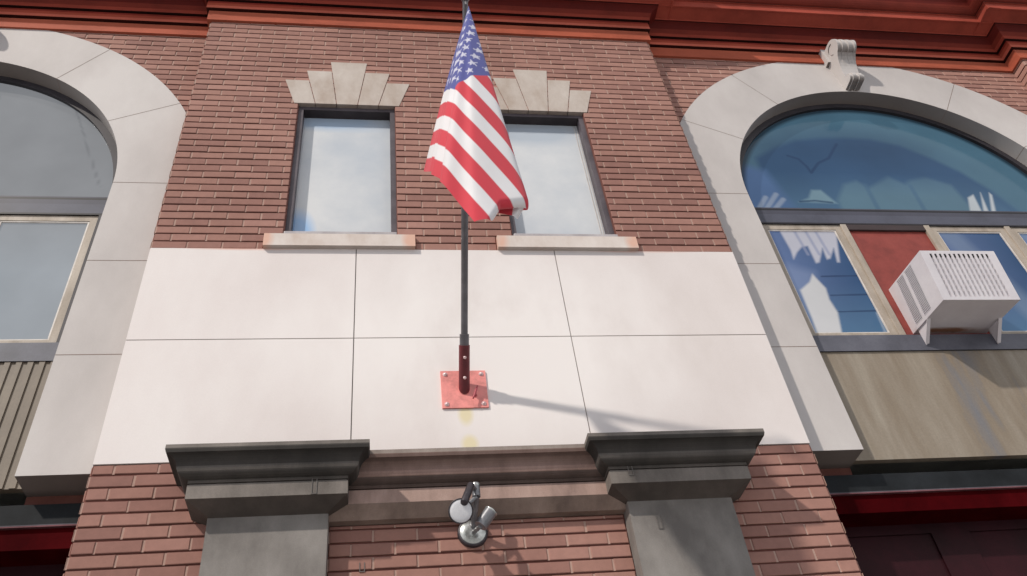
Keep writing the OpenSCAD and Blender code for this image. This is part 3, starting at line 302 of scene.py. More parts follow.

# Finishes, by the record's slots. After the tones come the metres of a patch, of a grain and of the bump's
# depth; a higher gloss mirrors more, and the soot share darkens what faces down as painted shade
finishes = {
    # Trowelled concrete, with broad damp patches
    "concrete": weathered("trowelled_concrete", ["#84837f", "#979691", "#a5a39d"], 0.9, 0.012, 0.002,
        rough=0.85),
    # Raked mortar, painted a dull burnt brown for the shade of the bricks' edges
    "brick": weathered("raked_mortar_painted_shade", ["#633b34", "#72463e", "#7e5148"], 0.3, 0.004, 0.001, rough=0.95),
    # Smooth dressed limestone, nearly even, with faint grey clouds and rain marks, and painted shade below
    "limestone": weathered("dressed_limestone", ["#b8b2b0", "#c5bfbd", "#d0cbc9"], 0.8, 0.006, 0.0006,
        rough=0.7, stretchZ=0.5, grainMix=0.12, sootAndShade=0.85),
    # Buff limestone with rust-tan stains
    "buff_stone": weathered("buff_limestone", ["#bfa897", "#d2c5bc", "#ddd4cd"], 0.16, 0.005, 0.0012,
        rough=0.8, stretchZ=0.6, grainMix=0.25, sootAndShade=0.45),
    # Grimy grey limestone of the door surround
    "grey_stone": weathered("grimy_limestone", ["#6d6865", "#837e7a", "#938e8a"], 0.22, 0.006, 0.0016,
        rough=0.85, stretchZ=0.6, grainMix=0.3, sootAndShade=0.45),
    # Brush-painted rolled steel, a dark grey with a faint shine
    "lintel_steel": weathered("painted_lintel_steel", ["#1b1d20", "#24272a", "#303338"], 0.25, 0.01, 0.0006,
        rough=0.55, sootAndShade=0.4, gloss=0.2),
    # Roll-formed sheet in dull tan paint, with painted shade under its ribs
    "ribbed_panel": weathered("ribbed_sheet", ["#675b4f", "#74685b", "#827667"], 0.35, 0.02, 0.0005,
        rough=0.55, sootAndShade=0.5),
    # Flat sheet whose paint has weathered into upright streaks of grey and tan
    "flat_panel": weathered("weathered_flat_panel", ["#75757a", "#877a6a", "#94897b", "#a39a8c"], 0.22,
        0.012, 0.0008, rough=0.65, stretchZ=0.12, grainMix=0.35, sootAndShade=0.5),
    # Blue-grey plate glass, its colour a painted reflection of a hazy sky
    "glass": weathered("window_glass", ["#b3c0cf", "#c3cad3", "#d5d7da"], 0.9, 2.0, 0.0, rough=0.04,
        grainMix=0.0),
    # Brush-painted softwood, an off-white with painted shade on its undersides
    "cream_wood": weathered("cream_painted_wood", ["#9b8f82", "#aea295", "#bfb4a8"], 0.1, 0.01, 0.0008,
        rough=0.6, stretchZ=0.3, sootAndShade=0.3),
    # Brush-painted board, an even flat red
    "red_board": weathered("painted_board", ["#7b2f28", "#8b3931", "#954239"], 0.12, 0.006, 0.0005,
        rough=0.6),
    # Stove-enamelled sheet steel, smooth and pale, with a rust stain near its foot
    "appliance_white": weathered("enamelled_sheet_steel", ["#cdc8cd", "#d6d1d6", "#dedade"], 0.3, 0.02,
        0.0003, rough=0.45, grainMix=0.1, sootAndShade=0.2, stainsAndPaintedLight=[((3.37, -7.75, 5.0), (0.34, 0.045, 0.045),
        "#85634f")]),
    # Sprayed door paint, a very dark red that hardly shines
    "door_red": weathered("dark_red_door_paint", ["#210a0f", "#2c0f16", "#37141c"], 0.4, 0.01, 0.0005,
        rough=0.6, sootAndShade=0.5, gloss=0.15),
    # Pressed sheet metal in brick-red paint, its mouldings banded by height with painted shade and
    # highlights
    "cornice_red": weathered("painted_pressed_metal", paleShade, 0.5, 0.02, 0.0012, rough=0.65, stretchZ=2.5,
        grainMix=0.25, sootAndShade=0.3, bands=cornicePaintAndShade, gloss=0.15),
    # Painted drawn tube, dark with a streak of light along it
    "pole_metal": weathered("dull_painted_tube", ["#444145", "#535056", "#625f66"], 0.1, 0.004, 0.0002,
        rough=0.32, gloss=0.8),
    # Faded pinkish red on the plate, deep maroon on the socket
    "bracket_red": weathered("red_painted_steel", paleShade, 0.06, 0.004, 0.0005, rough=0.5, grainMix=0.15,
        sootAndShade=0.6, bandAxis="Y", bands=[(-8.06, "#7a222e"), (-8.026, "#ffa29c"), (-8.0, "#ffa29c")]),
    # Woven nylon, a dull red with faint clouds
    "flag_cloth": weathered("woven_nylon", ["#b0444e", "#c9505b"], 0.3, 0.002, 0.0002, rough=0.7),
    # Die-cast metal, a soft grey sheen
    "lamp_metal": weathered("grey_die_cast_metal", ["#6d6e73", "#7f8085", "#919297"], 0.05, 0.003, 0.0002,
        rough=0.4, metal=0.5),
    # Anodised aluminium in dark bronze, with painted shade on its undersides
    "bronze_frame": weathered("dark_bronze_finish", ["#4d474d", "#5c555b", "#696268"], 0.2, 0.01, 0.0003,
        rough=0.5, sootAndShade=0.75, gloss=0.3),
}
# Nodes whose look differs from the rest of their slot
ownFinish = {
    # Sawn limestone, nearly white, with a lighter middle of painted light, two tan drips and rust along its
    # top
    "stone_panel": weathered("warm_white_limestone", ["#dbd2cf", "#e4dcda", "#ebe5e3"], 0.9, 0.006, 0.0005,
        rough=0.7, stretchZ=0.5, grainMix=0.1, sootAndShade=0.5,
        stainsAndPaintedLight=[((0.2, -8.01, 4.75), (1.4, 0.4, 0.9), "#f1ecea"),
        ((-0.03, -8.01, 4.22), (0.05, 0.3, 0.09), "#e5dab8"),
        ((-0.02, -8.01, 4.03), (0.055, 0.3, 0.07), "#e5dab8"),
        ((-1.3, -8.01, 5.5), (0.5, 0.3, 0.04), "#d9a99a"),
        ((1.25, -8.01, 5.5), (0.5, 0.3, 0.04), "#d9a99a")]),
    # Sawn limestone that rust has stained in four places
    "front_window_sills": weathered("stained_sill_stone", ["#cdbeb4", "#dacfc8", "#e3dad4"], 0.16, 0.005,
        0.0012, rough=0.8, stretchZ=0.6, grainMix=0.2, sootAndShade=0.5,
        stainsAndPaintedLight=[((x, -8.0, 5.54), (0.08, 0.3, 0.12), "#dbb29f") for x in (-1.2, -0.28, 0.27, 1.18)]),
    # Float glass painted with the reflection of a pale sky, bluer low on the left and under the heads
    "front_glass": weathered("sky_mirroring_glass", ["#bfc6cf", "#cdd1d6", "#dbdddf"], 0.7, 2.0, 0.0,
        rough=0.05, grainMix=0.0, stainsAndPaintedLight=[((-1.02, -7.9, 5.7), (0.14, 0.3, 0.3), "#9cc0e8"),
        ((-0.75, -7.9, 6.95), (0.5, 0.3, 0.13), "#aec0d6"), ((0.7, -7.9, 6.9), (0.5, 0.3, 0.2), "#b3bdc9")]),
    # Tooled limestone, buff with close brown clouds
    "window_arches": weathered("buff_arch_stone", ["#b3a397", "#c2b6ad", "#cdc3bb"], 0.18, 0.005, 0.0012,
        rough=0.8, stretchZ=0.5, grainMix=0.25, sootAndShade=0.6),
    # Carved limestone, grimy, with bands of painted shade and light by height that turn it black under its
    # mouldings
    "entablature_blocks": weathered("sooty_limestone_blocks_painted_shade", ["#b4b4b4", "#dcdcdc", "#ffffff"], 0.2, 0.006,
        0.0016, rough=0.85, stretchZ=0.4, grainMix=0.35, sootAndShade=0.55, bands=blockStoneAndShade),
    # The same stone in pinker tones between the blocks, with its own bands of painted shade and light
    "entablature_middle": weathered("sooty_pinkish_limestone_painted_shade", ["#b8b4b2", "#e2dedc", "#ffffff"], 0.2, 0.006,
        0.0016, rough=0.85, stretchZ=0.4, grainMix=0.35, sootAndShade=0.5, bands=middleStoneAndShade),
    # Bronze finish on the bars and slate paint on the transom, each moulding in its own tone; the darkest
    # bands are painted shade
    "arch_window_frames": weathered("bronze_and_slate_paint_painted_shade", paleShade, 0.3, 0.01, 0.0003, rough=0.5,
        sootAndShade=0.6, bands=[(6.06, "#403d43"), (6.082, "#25232a"), (6.1, "#565867"), (6.19, "#4c4d5b"),
        (6.235, "#1d1c24"), (6.255, "#4f505e"), (6.268, "#403d43"), (6.28, "#403d43")], gloss=0.3),
    # Brushed slate-grey paint, dull, with painted shade below
    "window_sill_bars": weathered("slate_grey_paint", ["#54555f", "#61626d", "#6d6e79"], 0.3, 0.01, 0.0004,
        rough=0.5, sootAndShade=0.8, gloss=0.3),
    # Slate-grey lintels with a pale pinkish line along the foot, a painted highlight
    "door_lintels": weathered("slate_paint_on_lintel_steel", ["#b0b0b0", "#d8d8d8", "#ffffff"], 0.25, 0.01,
        0.0006, rough=0.6, sootAndShade=0.6, bands=[(3.8, "#8d5f66"), (3.8165, "#6f6a72"), (3.822, "#2b2e32"),
        (3.94, "#2b2e32")], gloss=0.1),
    # Deep red brushed paint with almost no shine
    "vehicle_door_trim": weathered("deep_red_trim_paint", ["#330306", "#400509", "#4d090e"], 0.3, 0.01,
        0.0005, rough=0.7, sootAndShade=0.4, gloss=0.02),
    # Cast coping stone, rough and a dirty tan-grey
    "coping": weathered("weathered_coping_stone", ["#a79c91", "#b9afa5", "#c6bdb4"], 0.3, 0.006, 0.0012,
        rough=0.85),
}
slotOf = {part["node"]: part["material_slot"] for part in frame["record"]["subparts"]}
for nodeName, node in nodes.items():
    node.data.materials.clear()
    node.data.materials.append(ownFinish.get(nodeName) or finishes[slotOf[nodeName]])
print("finishes made:", len(finishes) + len(ownFinish))

# Brickwork: real bricks that stand proud of the walls, in running bond
# Of the tones, 0 is the painted shade of the undersides and 1 the pale mortar of the end joints
brick = {
    "course": 0.068, "baseZ": 5.48, "length": 3.7 / 18, "bed": 0.0098, "end": 0.0095, "proud": 0.008,
    "bevel": 0.003, "uneven": 0.0013, "mortarOut": 0.004, "sunk": 0.002, "leastLong": 0.02,
    "leastHigh": 0.022, "flankLength": 0.4, "pierLength": 0.95 / 4.5, "toneLow": 0.05, "toneSpan": 0.88,
    "archShift": 0.25, "cornerShare": 0.6, "faceShare": 0.4, "mortarLow": 0.4, "mortarHigh": 0.6,
    "tones": [(0.0, "#64423b"), (0.02, "#9f756b"), (0.3, "#a97d72"), (0.6, "#b18578"), (0.94, "#b98c80"),
    (0.97, "#c4a598"), (1.0, "#c4a598")],
}


def bigEnough(rects):
    # Leaves out slivers too short or too low to be cut from a brick
    long, high = rects[:, 1] - rects[:, 0], rects[:, 3] - rects[:, 2]
    return rects[(long > brick["leastLong"]) & (high > brick["leastHigh"])]


def cutHole(rects, hole):
    # Each rectangle loses what lies in the hole and keeps up to four parts round it
    a, b, c, d = hole
    hit = (rects[:, 0] < b) & (rects[:, 1] > a) & (rects[:, 2] < d) & (rects[:, 3] > c)
    inside = rects[hit]
    leftPart, rightPart, lowPart, highPart = (inside.copy() for _ in range(4))
    leftPart[:, 1] = a
    rightPart[:, 0] = b
    for part in (lowPart, highPart):
        part[:, 0] = np.maximum(part[:, 0], a)
        part[:, 1] = np.minimum(part[:, 1], b)
    lowPart[:, 3] = c
    highPart[:, 2] = d
    return bigEnough(np.concatenate([rects[~hit], leftPart, rightPart, lowPart, highPart]))


def brickRects(u0, u1, holes, length=brick["length"], z0=0.0, z1=f["wallTop"], shift=0.0):
    # Course k starts at u0, and every second course half a brick further on. The fifth column tells the
    # rectangles that start at a whole brick's end and have mortar there
    rows = np.arange(math.floor((z0 - brick["baseZ"]) / brick["course"]),
        math.ceil((z1 - brick["baseZ"]) / brick["course"]))
    cols = np.arange(-1, math.ceil((u1 - u0) / length) + 1)
    k, c = np.meshgrid(rows, cols, indexing="ij")
    left = u0 + (c + 0.5 * (k % 2) + shift) * length
    low = brick["baseZ"] + k * brick["course"]
    rects = np.stack([left, left + length, low, low + brick["course"]], axis=-1).reshape(-1, 4)
    starts = rects[:, 0].copy()
    rects[:, :2] = np.clip(rects[:, :2], u0, u1)
    rects[:, 2:] = np.clip(rects[:, 2:], z0, z1)
    rects = bigEnough(np.column_stack([rects, starts]))
    for hole in holes:
        rects = cutHole(rects, hole)
    rects[:, 4] = np.abs(rects[:, 4] - rects[:, 0]) < 1e-6
    return rects


def layBricks(rects, origin, outward, seed, fine=True):
    # A brick is a ring on the wall, a ring near its face and, where fine, a smaller ring on its face; a quad
    # of mortar stands between its start and the brick before it. Faces carry a tone: 0 for the undersides,
    # which take a dark painted shade, 1 for mortar, and the brick's own tone between
    rng = np.random.default_rng(seed)
    n = len(rects)
    origin, outward = np.array(origin, dtype=float), np.array(outward, dtype=float)
    along = np.abs(outward)[[1, 0, 2]]
    inset = np.array([brick["end"], -brick["end"], brick["bed"], -brick["bed"]]) / 2
    box = rects[:, :4] + inset + rng.uniform(-1, 1, (n, 4)) * brick["uneven"]
    corners = np.stack([box[:, [0, 2]], box[:, [1, 2]], box[:, [1, 3]], box[:, [0, 3]]], axis=1)
    if fine:
        corners = corners + rng.uniform(-1, 1, (n, 4, 2)) * brick["uneven"] * brick["cornerShare"]
    face = brick["proud"] + rng.uniform(-1, 1, (n, 1)) * brick["uneven"]
    middle = corners.mean(axis=1, keepdims=True)
    inward = corners - np.sign(corners - middle) * brick["bevel"]
    rings = [(corners, np.full((n, 4), -brick["sunk"]))]
    rings.append((corners, np.repeat(face - (brick["bevel"] if fine else 0), 4, 1)))
    if fine:
        wave = rng.uniform(-1, 1, (n, 4)) * brick["uneven"] * brick["faceShare"]
        rings.append((inward, np.repeat(face, 4, 1) + wave))
    flat = np.concatenate([np.concatenate([c, o[..., None]], axis=2) for c, o in rings], axis=1)
    size = flat.shape[1]
    quads = [[a + r, (a + 1) % 4 + r, (a + 1) % 4 + r + 4, a + r + 4] for r in range(0, size - 4, 4)
        for a in range(4)] + [[size - 4, size - 3, size - 2, size - 1]]
    faces = (np.arange(n)[:, None, None] * size + np.array(quads)[None]).reshape(-1, 4)
    tones = np.repeat(brick["toneLow"] + brick["toneSpan"] * rng.random(n)[:, None], len(quads), axis=1)
    # The undersides take tone 0, a painted shade
    tones[:, 0] = 0.0
    ends = rects[rects[:, 4] > 0.5]
    half = brick["end"] / 2 + brick["uneven"]
    lows = ends[:, 2] + brick["mortarLow"] * brick["bed"]
    highs = ends[:, 3] - brick["mortarHigh"] * brick["bed"]
    lefts, rights = ends[:, 0] - half, ends[:, 0] + half
    depth = np.full(len(ends), brick["mortarOut"])
    strips = np.stack([np.stack([a, b, depth], axis=-1)
        for a, b in ((lefts, lows), (rights, lows), (rights, highs), (lefts, highs))], axis=1)
    flat = np.concatenate([flat.reshape(-1, 3), strips.reshape(-1, 3)])
    faces = np.concatenate([faces, n * size + np.arange(4 * len(ends)).reshape(-1, 4)])
    tones = np.concatenate([tones.ravel(), np.ones(len(ends))])
    points = origin + flat[:, 0:1] * along + flat[:, 2:3] * outward
    points[:, 2] += flat[:, 1]
    if np.dot(np.cross(along, [0, 0, 1]), outward) < 0:
        faces = faces[:, ::-1]
    return points, faces, tones


def buildWall(name, courses, material):
    # One mesh of several areas of bricks, with each face's tone as an attribute
    points, faces = joined([(p, f) for p, f, _ in courses])
    mesh = fillMesh(name, points, faces)
    tone = mesh.attributes.new("tone", "FLOAT", "FACE")
    tone.data.foreach_set("value", np.concatenate([t for _, _, t in courses]).astype(np.float32))
    print(name, len(mesh.polygons), "faces")
    return addPiece(name, mesh, material)


def makeBrickMaterial():
    # Smooth-faced wire-cut clay: each brick has its own burnt tone, with faint drag marks and sooty patches;
    # the undersides take tone 0, a painted shade
    material, tree, shader, coords = startMaterial("wire_cut_brick", {"Roughness": 0.85})
    tone = addNode(tree, "Attribute", {"attribute_name": "tone"})
    base = addNode(tree, "ValToRGB", {"stops": brick["tones"]}, {"Fac": tone.outputs["Fac"]})
    cloud = addNode(tree, "TexNoise", {"Scale": 18.0, "Detail": 6.0, "Roughness": 0.7},
        {"Vector": coords["Object"]})
    sootAndShade = addNode(tree, "TexNoise", {"Scale": 0.7, "Detail": 3.0}, {"Vector": coords["Object"]})
    grain = addNode(tree, "TexNoise", {"Scale": 300.0, "Detail": 2.0}, {"Vector": coords["Object"]})
    shade = addNode(tree, "ValToRGB", {"stops": [(0.3, 0.78), (0.7, 1.0)]}, {"Fac": cloud})
    first = multiplied(tree, base, shade, 0.7)
    sootTone = addNode(tree, "ValToRGB", {"stops": [(0.35, "#c4b6b3"), (0.65, "#ffffff")]}, {"Fac": sootAndShade})
    tree.links.new(multiplied(tree, first, sootTone, 0.5), shader.inputs["Base Color"])
    height = addNode(tree, "Math", {"operation": "MULTIPLY_ADD", 1: 0.4}, {0: grain, 2: cloud})
    bump = addNode(tree, "Bump", {"Strength": 0.7, "Distance": 0.003}, {"Height": height})
    tree.links.new(bump.outputs[0], shader.inputs["Normal"])
    return material


brickFace = makeBrickMaterial()


def twinHoles(middle, half, low, high):
    # The same hole on the left and on the right
    return [(s * middle - half, s * middle + half, low, high) for s in (-1, 1)]


# Bricks run a little behind the cornice, whose hole reaches further out than any wall
beyond, lap = 9.0, 0.02
panelHole = (-f["bayInX"] - 1, f["bayInX"] + 1, f["panelFoot"], f["panelTop"])
corniceHole = (-beyond, beyond, f["corniceFoot"] + lap, f["corniceTop"] - lap)
holes = [panelHole, (-f["doorHalf"], f["doorHalf"], 0.0, f["doorTop"]),
    (-f["blocksHalf"], f["blocksHalf"], f["blocksFoot"], f["blocksTop"]), corniceHole]
holes += twinHoles(f["windowX"], f["windowW"] / 2, f["sillZ"], f["headZ"])
holes += twinHoles(f["windowX"], f["sillHalf"], f["panelTop"], f["sillZ"])
holes += twinHoles(f["pilasterX"], f["pilasterHalf"], 0.0, f["pilasterTop"])
centre = brickRects(-f["bayInX"], f["bayInX"], holes)
courses = [layBricks(centre, (0, y0, 0), (0, -1, 0), 11)]
for s in (-1, 1):
    flank = brickRects(0.0, f["recess"], [panelHole, corniceHole], brick["flankLength"])
    courses.append(layBricks(flank, (s * f["bayInX"], y0, 0), (s, 0, 0), 21 + s))
buildWall("centre_bay_bricks", courses, brickFace)

# The arched bays keep the bricks whose corners aren't all behind the stone surround
courses = []
for s in (-1, 1):
    bay = brickRects(-f["bayInX"], f["bayInX"], [corniceHole], z0=f["lintelTop"], shift=brick["archShift"])
    cornerU = bay[:, [0, 1, 1, 0]]
    cornerZ = bay[:, [2, 2, 3, 3]]
    outside = (np.hypot(cornerU, cornerZ - f["springZ"]) > f["archOuter"]).any(axis=1)
    outside &= bay[:, 2] > f["springZ"]
    courses.append(layBricks(bay[outside], (s * f["archX"], y0 + f["recess"], 0), (0, -1, 0), 31 + s))
    pier = brickRects(-f["pierHalf"], f["pierHalf"], [corniceHole], brick["pierLength"])
    courses.append(layBricks(pier, (s * f["pierX"], y0, 0), (0, -1, 0), 41 + s))
    flank = brickRects(0.0, f["recess"], [corniceHole], brick["flankLength"])
    courses.append(layBricks(flank, (s * f["bayOutX"], y0, 0), (-s, 0, 0), 51 + s))
    for x, way in ((f["bayOutX"], -s), (f["bayInX"], s)):
        reveal = brickRects(0.0, f["reveal"], [], brick["flankLength"], f["reveal"], f["lintelFoot"])
        courses.append(layBricks(reveal, (s * x, y0 + f["recess"], 0), (way, 0, 0), 61 + s))
buildWall("side_bay_bricks", courses, brickFace)

# Side and rear walls
plain = {"half": 0.45, "height": 1.45, "lows": (1.4, 5.61), "sillLap": 0.08, "sillHeight": 0.11,
    "sideFrom": -7.55, "sideTo": 8.0, "sideCount": 4, "rearCount": 3, "corniceEnd": 0.69}


def plainHoles(count, start, end):
    # Windows and their sills at even distances between start and end
    holes = []
    for i in range(count):
        m = start + (i + 0.5) * (end - start) / count
        for z in plain["lows"]:
            wide = plain["half"] + plain["sillLap"]
            holes.append((m - plain["half"], m + plain["half"], z, z + plain["height"]))
            holes.append((m - wide, m + wide, z - plain["sillHeight"], z))
    return holes


returnHole = (-beyond, y0 + plain["corniceEnd"], corniceHole[2], corniceHole[3])
for s, name in ((-1, "left_side_bricks"), (1, "right_side_bricks")):
    holes = plainHoles(plain["sideCount"], plain["sideFrom"], plain["sideTo"]) + [returnHole]
    rects = brickRects(y0, f["rearY"], holes)
    buildWall(name, [layBricks(rects, (s * f["halfWidth"], 0, 0), (s, 0, 0), 71 + s, False)], brickFace)
holes = plainHoles(plain["rearCount"], -f["halfWidth"], f["halfWidth"])
rects = brickRects(-f["halfWidth"], f["halfWidth"], holes)
buildWall("rear_bricks", [layBricks(rects, (0, f["rearY"], 0), (0, 1, 0), 81, False)], brickFace)

# Joints of the stone surrounds in a grey-brown pointing, darker than the stone: radial in the arch, level in
# the jambs, across the reveal and the face
joint = {"width": 0.005, "proud": 0.0006, "inner": 1.446, "outer": 1.968, "jambOut": 1.85, "depth": 0.146,
    "before": 0.012, "angles": (28.3, 56.3, 123.7, 151.7), "levels": (6.267, 5.522, 4.78)}
faceY = y0 + f["recess"] - joint["before"]
lines = []
for angle in joint["angles"]:
    way = np.array([math.cos(math.radians(angle)), math.sin(math.radians(angle))])
    lines.append((joint["inner"] * way + [0, f["springZ"]], joint["outer"] * way + [0, f["springZ"]]))
for level in joint["levels"]:
    for s in (-1, 1):
        lines.append((np.array([s * joint["inner"], level]), np.array([s * joint["jambOut"], level])))
strips = []
for s in (-1, 1):
    for inner, outer in lines:
        way = unit(outer - inner)
        across = np.array([-way[1], way[0]]) * joint["width"] / 2
        inside = inner - way * joint["proud"]
        rows = [(inside, faceY + joint["depth"]), (inside, faceY - joint["proud"]),
            (outer, faceY - joint["proud"])]
        points = [[s * f["archX"] + (at + side * across)[0], y, (at + side * across)[1]] for at, y in rows
            for side in (-1, 1)]
        strips.append((points, [[0, 1, 3, 2], [2, 3, 5, 4]]))
pointing = weathered("grey_brown_pointing", ["#7c6e64", "#8c7a72"], 0.1, 0.004, 0.0005, rough=0.9)
addPiece("surround_joints", joined(strips), pointing)

# Pale pointing fills the panel's joints nearly to its face
panelJoint = {"half": 0.005, "faceY": (-7.9995, -7.994), "crossZ": 4.756, "uprightX": 0.63, "under": 0.0002}
w, (fore, back) = panelJoint["half"], panelJoint["faceY"]
lines = [[[-f["bayInX"] + w, fore, panelJoint["crossZ"] - w],
    [f["bayInX"] - w, back, panelJoint["crossZ"] + w]]]
for x in (-panelJoint["uprightX"], panelJoint["uprightX"]):
    lines.append([[x - w, fore + panelJoint["under"], f["panelFoot"]], [x + w, back, f["panelTop"]]])
addPiece("panel_pointing", boxes(lines), weathered("pale_panel_pointing", ["#9b9490", "#aca5a1"], 0.1, 0.004,
    0.0005, rough=0.9))

# Small staples of dull galvanised wire, shaped like a U, on the two blocks, a pilaster and the bricks; each
# place is (x, face, low, high)
staple = {"half": 0.009, "wire": 0.0036, "proud": 0.004, "sunk": 0.001,
    "places": ((-0.783, -8.2, 3.662, 3.742), (0.738, -8.2, 3.7, 3.752), (0.86, -8.1, 3.461, 3.531),
    (-0.563, -8.008, 3.363, 3.408))}
wires = []
w, half = staple["wire"], staple["half"]
for x, face, low, high in staple["places"]:
    fore, back = face - staple["proud"], face + staple["sunk"]
    wires += [[[x - half - w, fore, low], [x - half, back, high]],
        [[x + half, fore, low], [x + half + w, back, high]],
        [[x - half, fore, low], [x + half, back, low + w]]]
addPiece("wire_staples", boxes(wires), weathered("dull_galvanised_wire", ["#5d5856", "#6e6966"], 0.05, 0.003,
    0.0002, rough=0.6))
print("stone joints laid")

# Panes of the arched windows: fine grids whose colour attribute holds painted reflections in the glass and
# what shows behind it, as soft shapes in metres about the arch's middle
panes = {"y": y0 + 0.297, "cells": (0.02, 0.0085), "radius": 1.391, "footZ": 5.01, "topZ": 6.035,
    "glow": 0.44, "lit": 0.24, "far": 9.0, "tip": 0.002}
lights = [(-1.318, -0.7685), (-0.6225, -0.073), (0.073, 0.6225), (0.7685, 1.318)]
boardLight = (1, 1)  # bay and number of the light that is boarded up


def segmentDistance(u, z, start, end):
    # Distance to the nearest place on a straight line; t is that place's share of the way along it
    (a, b), (c, d) = start, end
    span = max((c - a) ** 2 + (d - b) ** 2, 1e-9)
    t = np.clip(((u - a) * (c - a) + (z - b) * (d - b)) / span, 0, 1)
    return np.hypot(u - a - t * (c - a), z - b - t * (d - b))


def softShape(u, z, outline, blur):
    # 1 inside the outline and 0 outside, with an edge as wide as blur; a point is inside where a level line
    # from it crosses the outline an odd number of times
    outline = np.asarray(outline, dtype=float)
    inside = np.zeros(u.shape, dtype=bool)
    nearest = np.full(u.shape, panes["far"])
    for (a, b), (c, d) in zip(outline, np.roll(outline, -1, axis=0)):
        inside ^= ((b > z) != (d > z)) & (u < (c - a) * (z - b) / (d - b if d != b else 1.0) + a)
        nearest = np.minimum(nearest, segmentDistance(u, z, (a, b), (c, d)))
    return np.clip(0.5 + np.where(inside, nearest, -nearest) / blur, 0, 1)


def stroke(u, z, path, width):
    # A line along a path, whole up to half its width away and gone at one and a half
    nearest = np.full(u.shape, panes["far"])
    for start, end in zip(path[:-1], path[1:]):
        nearest = np.minimum(nearest, segmentDistance(u, z, start, end))
    return np.clip(1.5 - nearest / width, 0, 1)


def layered(u, layers):
    # Layers of (tone, mask), the first one solid and each next one over those before it
    colour = np.zeros(u.shape + (3,))
    for tone, mask in layers:
        colour = colour + (np.array(toLinear(tone)[:3]) - colour) * np.asarray(mask)[..., None]
    return colour


def paintFan(u, z):
    # The tall bay's mirrored arch, a bright rim and pale humps as painted reflections, with painted glints,
    # a crack like a branch, torn white stuff and a dark band of painted shade along the edge
    inner = [(-1.2, 6.2), (-1.12, 6.92), (-0.92, 7.06), (-0.7, 7.17), (-0.42, 7.22), (-0.21, 7.23),
        (0.02, 7.22), (0.27, 7.14), (0.48, 6.98), (0.67, 6.8), (0.83, 6.56), (0.97, 6.2)]
    corner = [(-1.4, 6.9), (-1.1, 6.75), (-1.0, 6.3), (-1.4, 6.2)]
    humps = [(-0.61, 6.2), (-0.6, 6.4), (-0.47, 6.6), (-0.34, 6.65), (-0.27, 6.56), (-0.2, 6.6),
        (-0.03, 6.71), (0.08, 6.62), (0.15, 6.67), (0.31, 6.71), (0.5, 6.62), (0.55, 6.2)]
    branch = [(-0.83, 6.96), (-0.75, 6.92), (-0.71, 6.82), (-0.7, 6.74), (-0.59, 6.87), (-0.47, 6.94),
        (-0.32, 7.14)]
    tent = [(-0.94, 6.37), (-0.84, 6.42), (-0.78, 6.52), (-0.7, 6.52), (-0.64, 6.4), (-0.62, 6.36)]
    tentFoot = [(-0.93, 6.375), (-0.8, 6.39), (-0.66, 6.37)]
    glints = ([(-1.3, 6.28), (-1.2, 6.42)], [(-1.24, 6.28), (-1.1, 6.46)], [(-1.17, 6.28), (-1.06, 6.4)])
    tufts = ([(0.49, 6.26), (0.57, 6.46), (0.64, 6.5), (0.6, 6.26)],
        [(0.61, 6.26), (0.72, 6.53), (0.66, 6.26)], [(0.68, 6.26), (0.8, 6.53), (0.81, 6.5), (0.72, 6.26)])
    layers = [("#5c8299", 1.0), ("#3f6289", softShape(u, z, inner, 0.06)),
        ("#35557a", softShape(u, z, inner, 0.5) * ramp(z, 6.7, 7.1)),
        ("#5b7fa0", softShape(u, z, inner, 0.2) * ramp(z, 6.75, 6.25)),
        ("#5f7fae", softShape(u, z, corner, 0.1)), ("#7396a8",
        0.75 * softShape(u, z, humps, 0.05) * ramp(z, 6.95, 6.45))]
    layers += [("#55799a", 0.6 * stroke(u, z, [(x, 6.2), (x + 0.02, 6.6)], 0.02)) for x in (-0.3, 0.1)]
    layers += [("#2b476e", 0.8 * stroke(u, z, branch, 0.012)),
        ("#8fb0c0", 0.85 * softShape(u, z, tent, 0.03)), ("#2f4d70", 0.8 * stroke(u, z, tentFoot, 0.01))]
    layers += [("#b9c6da", 0.6 * stroke(u, z, path, 0.02)) for path in glints]
    layers += [("#dde4ea", softShape(u, z, tuft, 0.02)) for tuft in tufts]
    # A dark band just inside the frame's curve, painted shade
    layers.append(("#1f2833", np.minimum(ramp(np.hypot(u, z - f["springZ"]), 1.33, 1.38), 0.8)))
    return layered(u, layers)


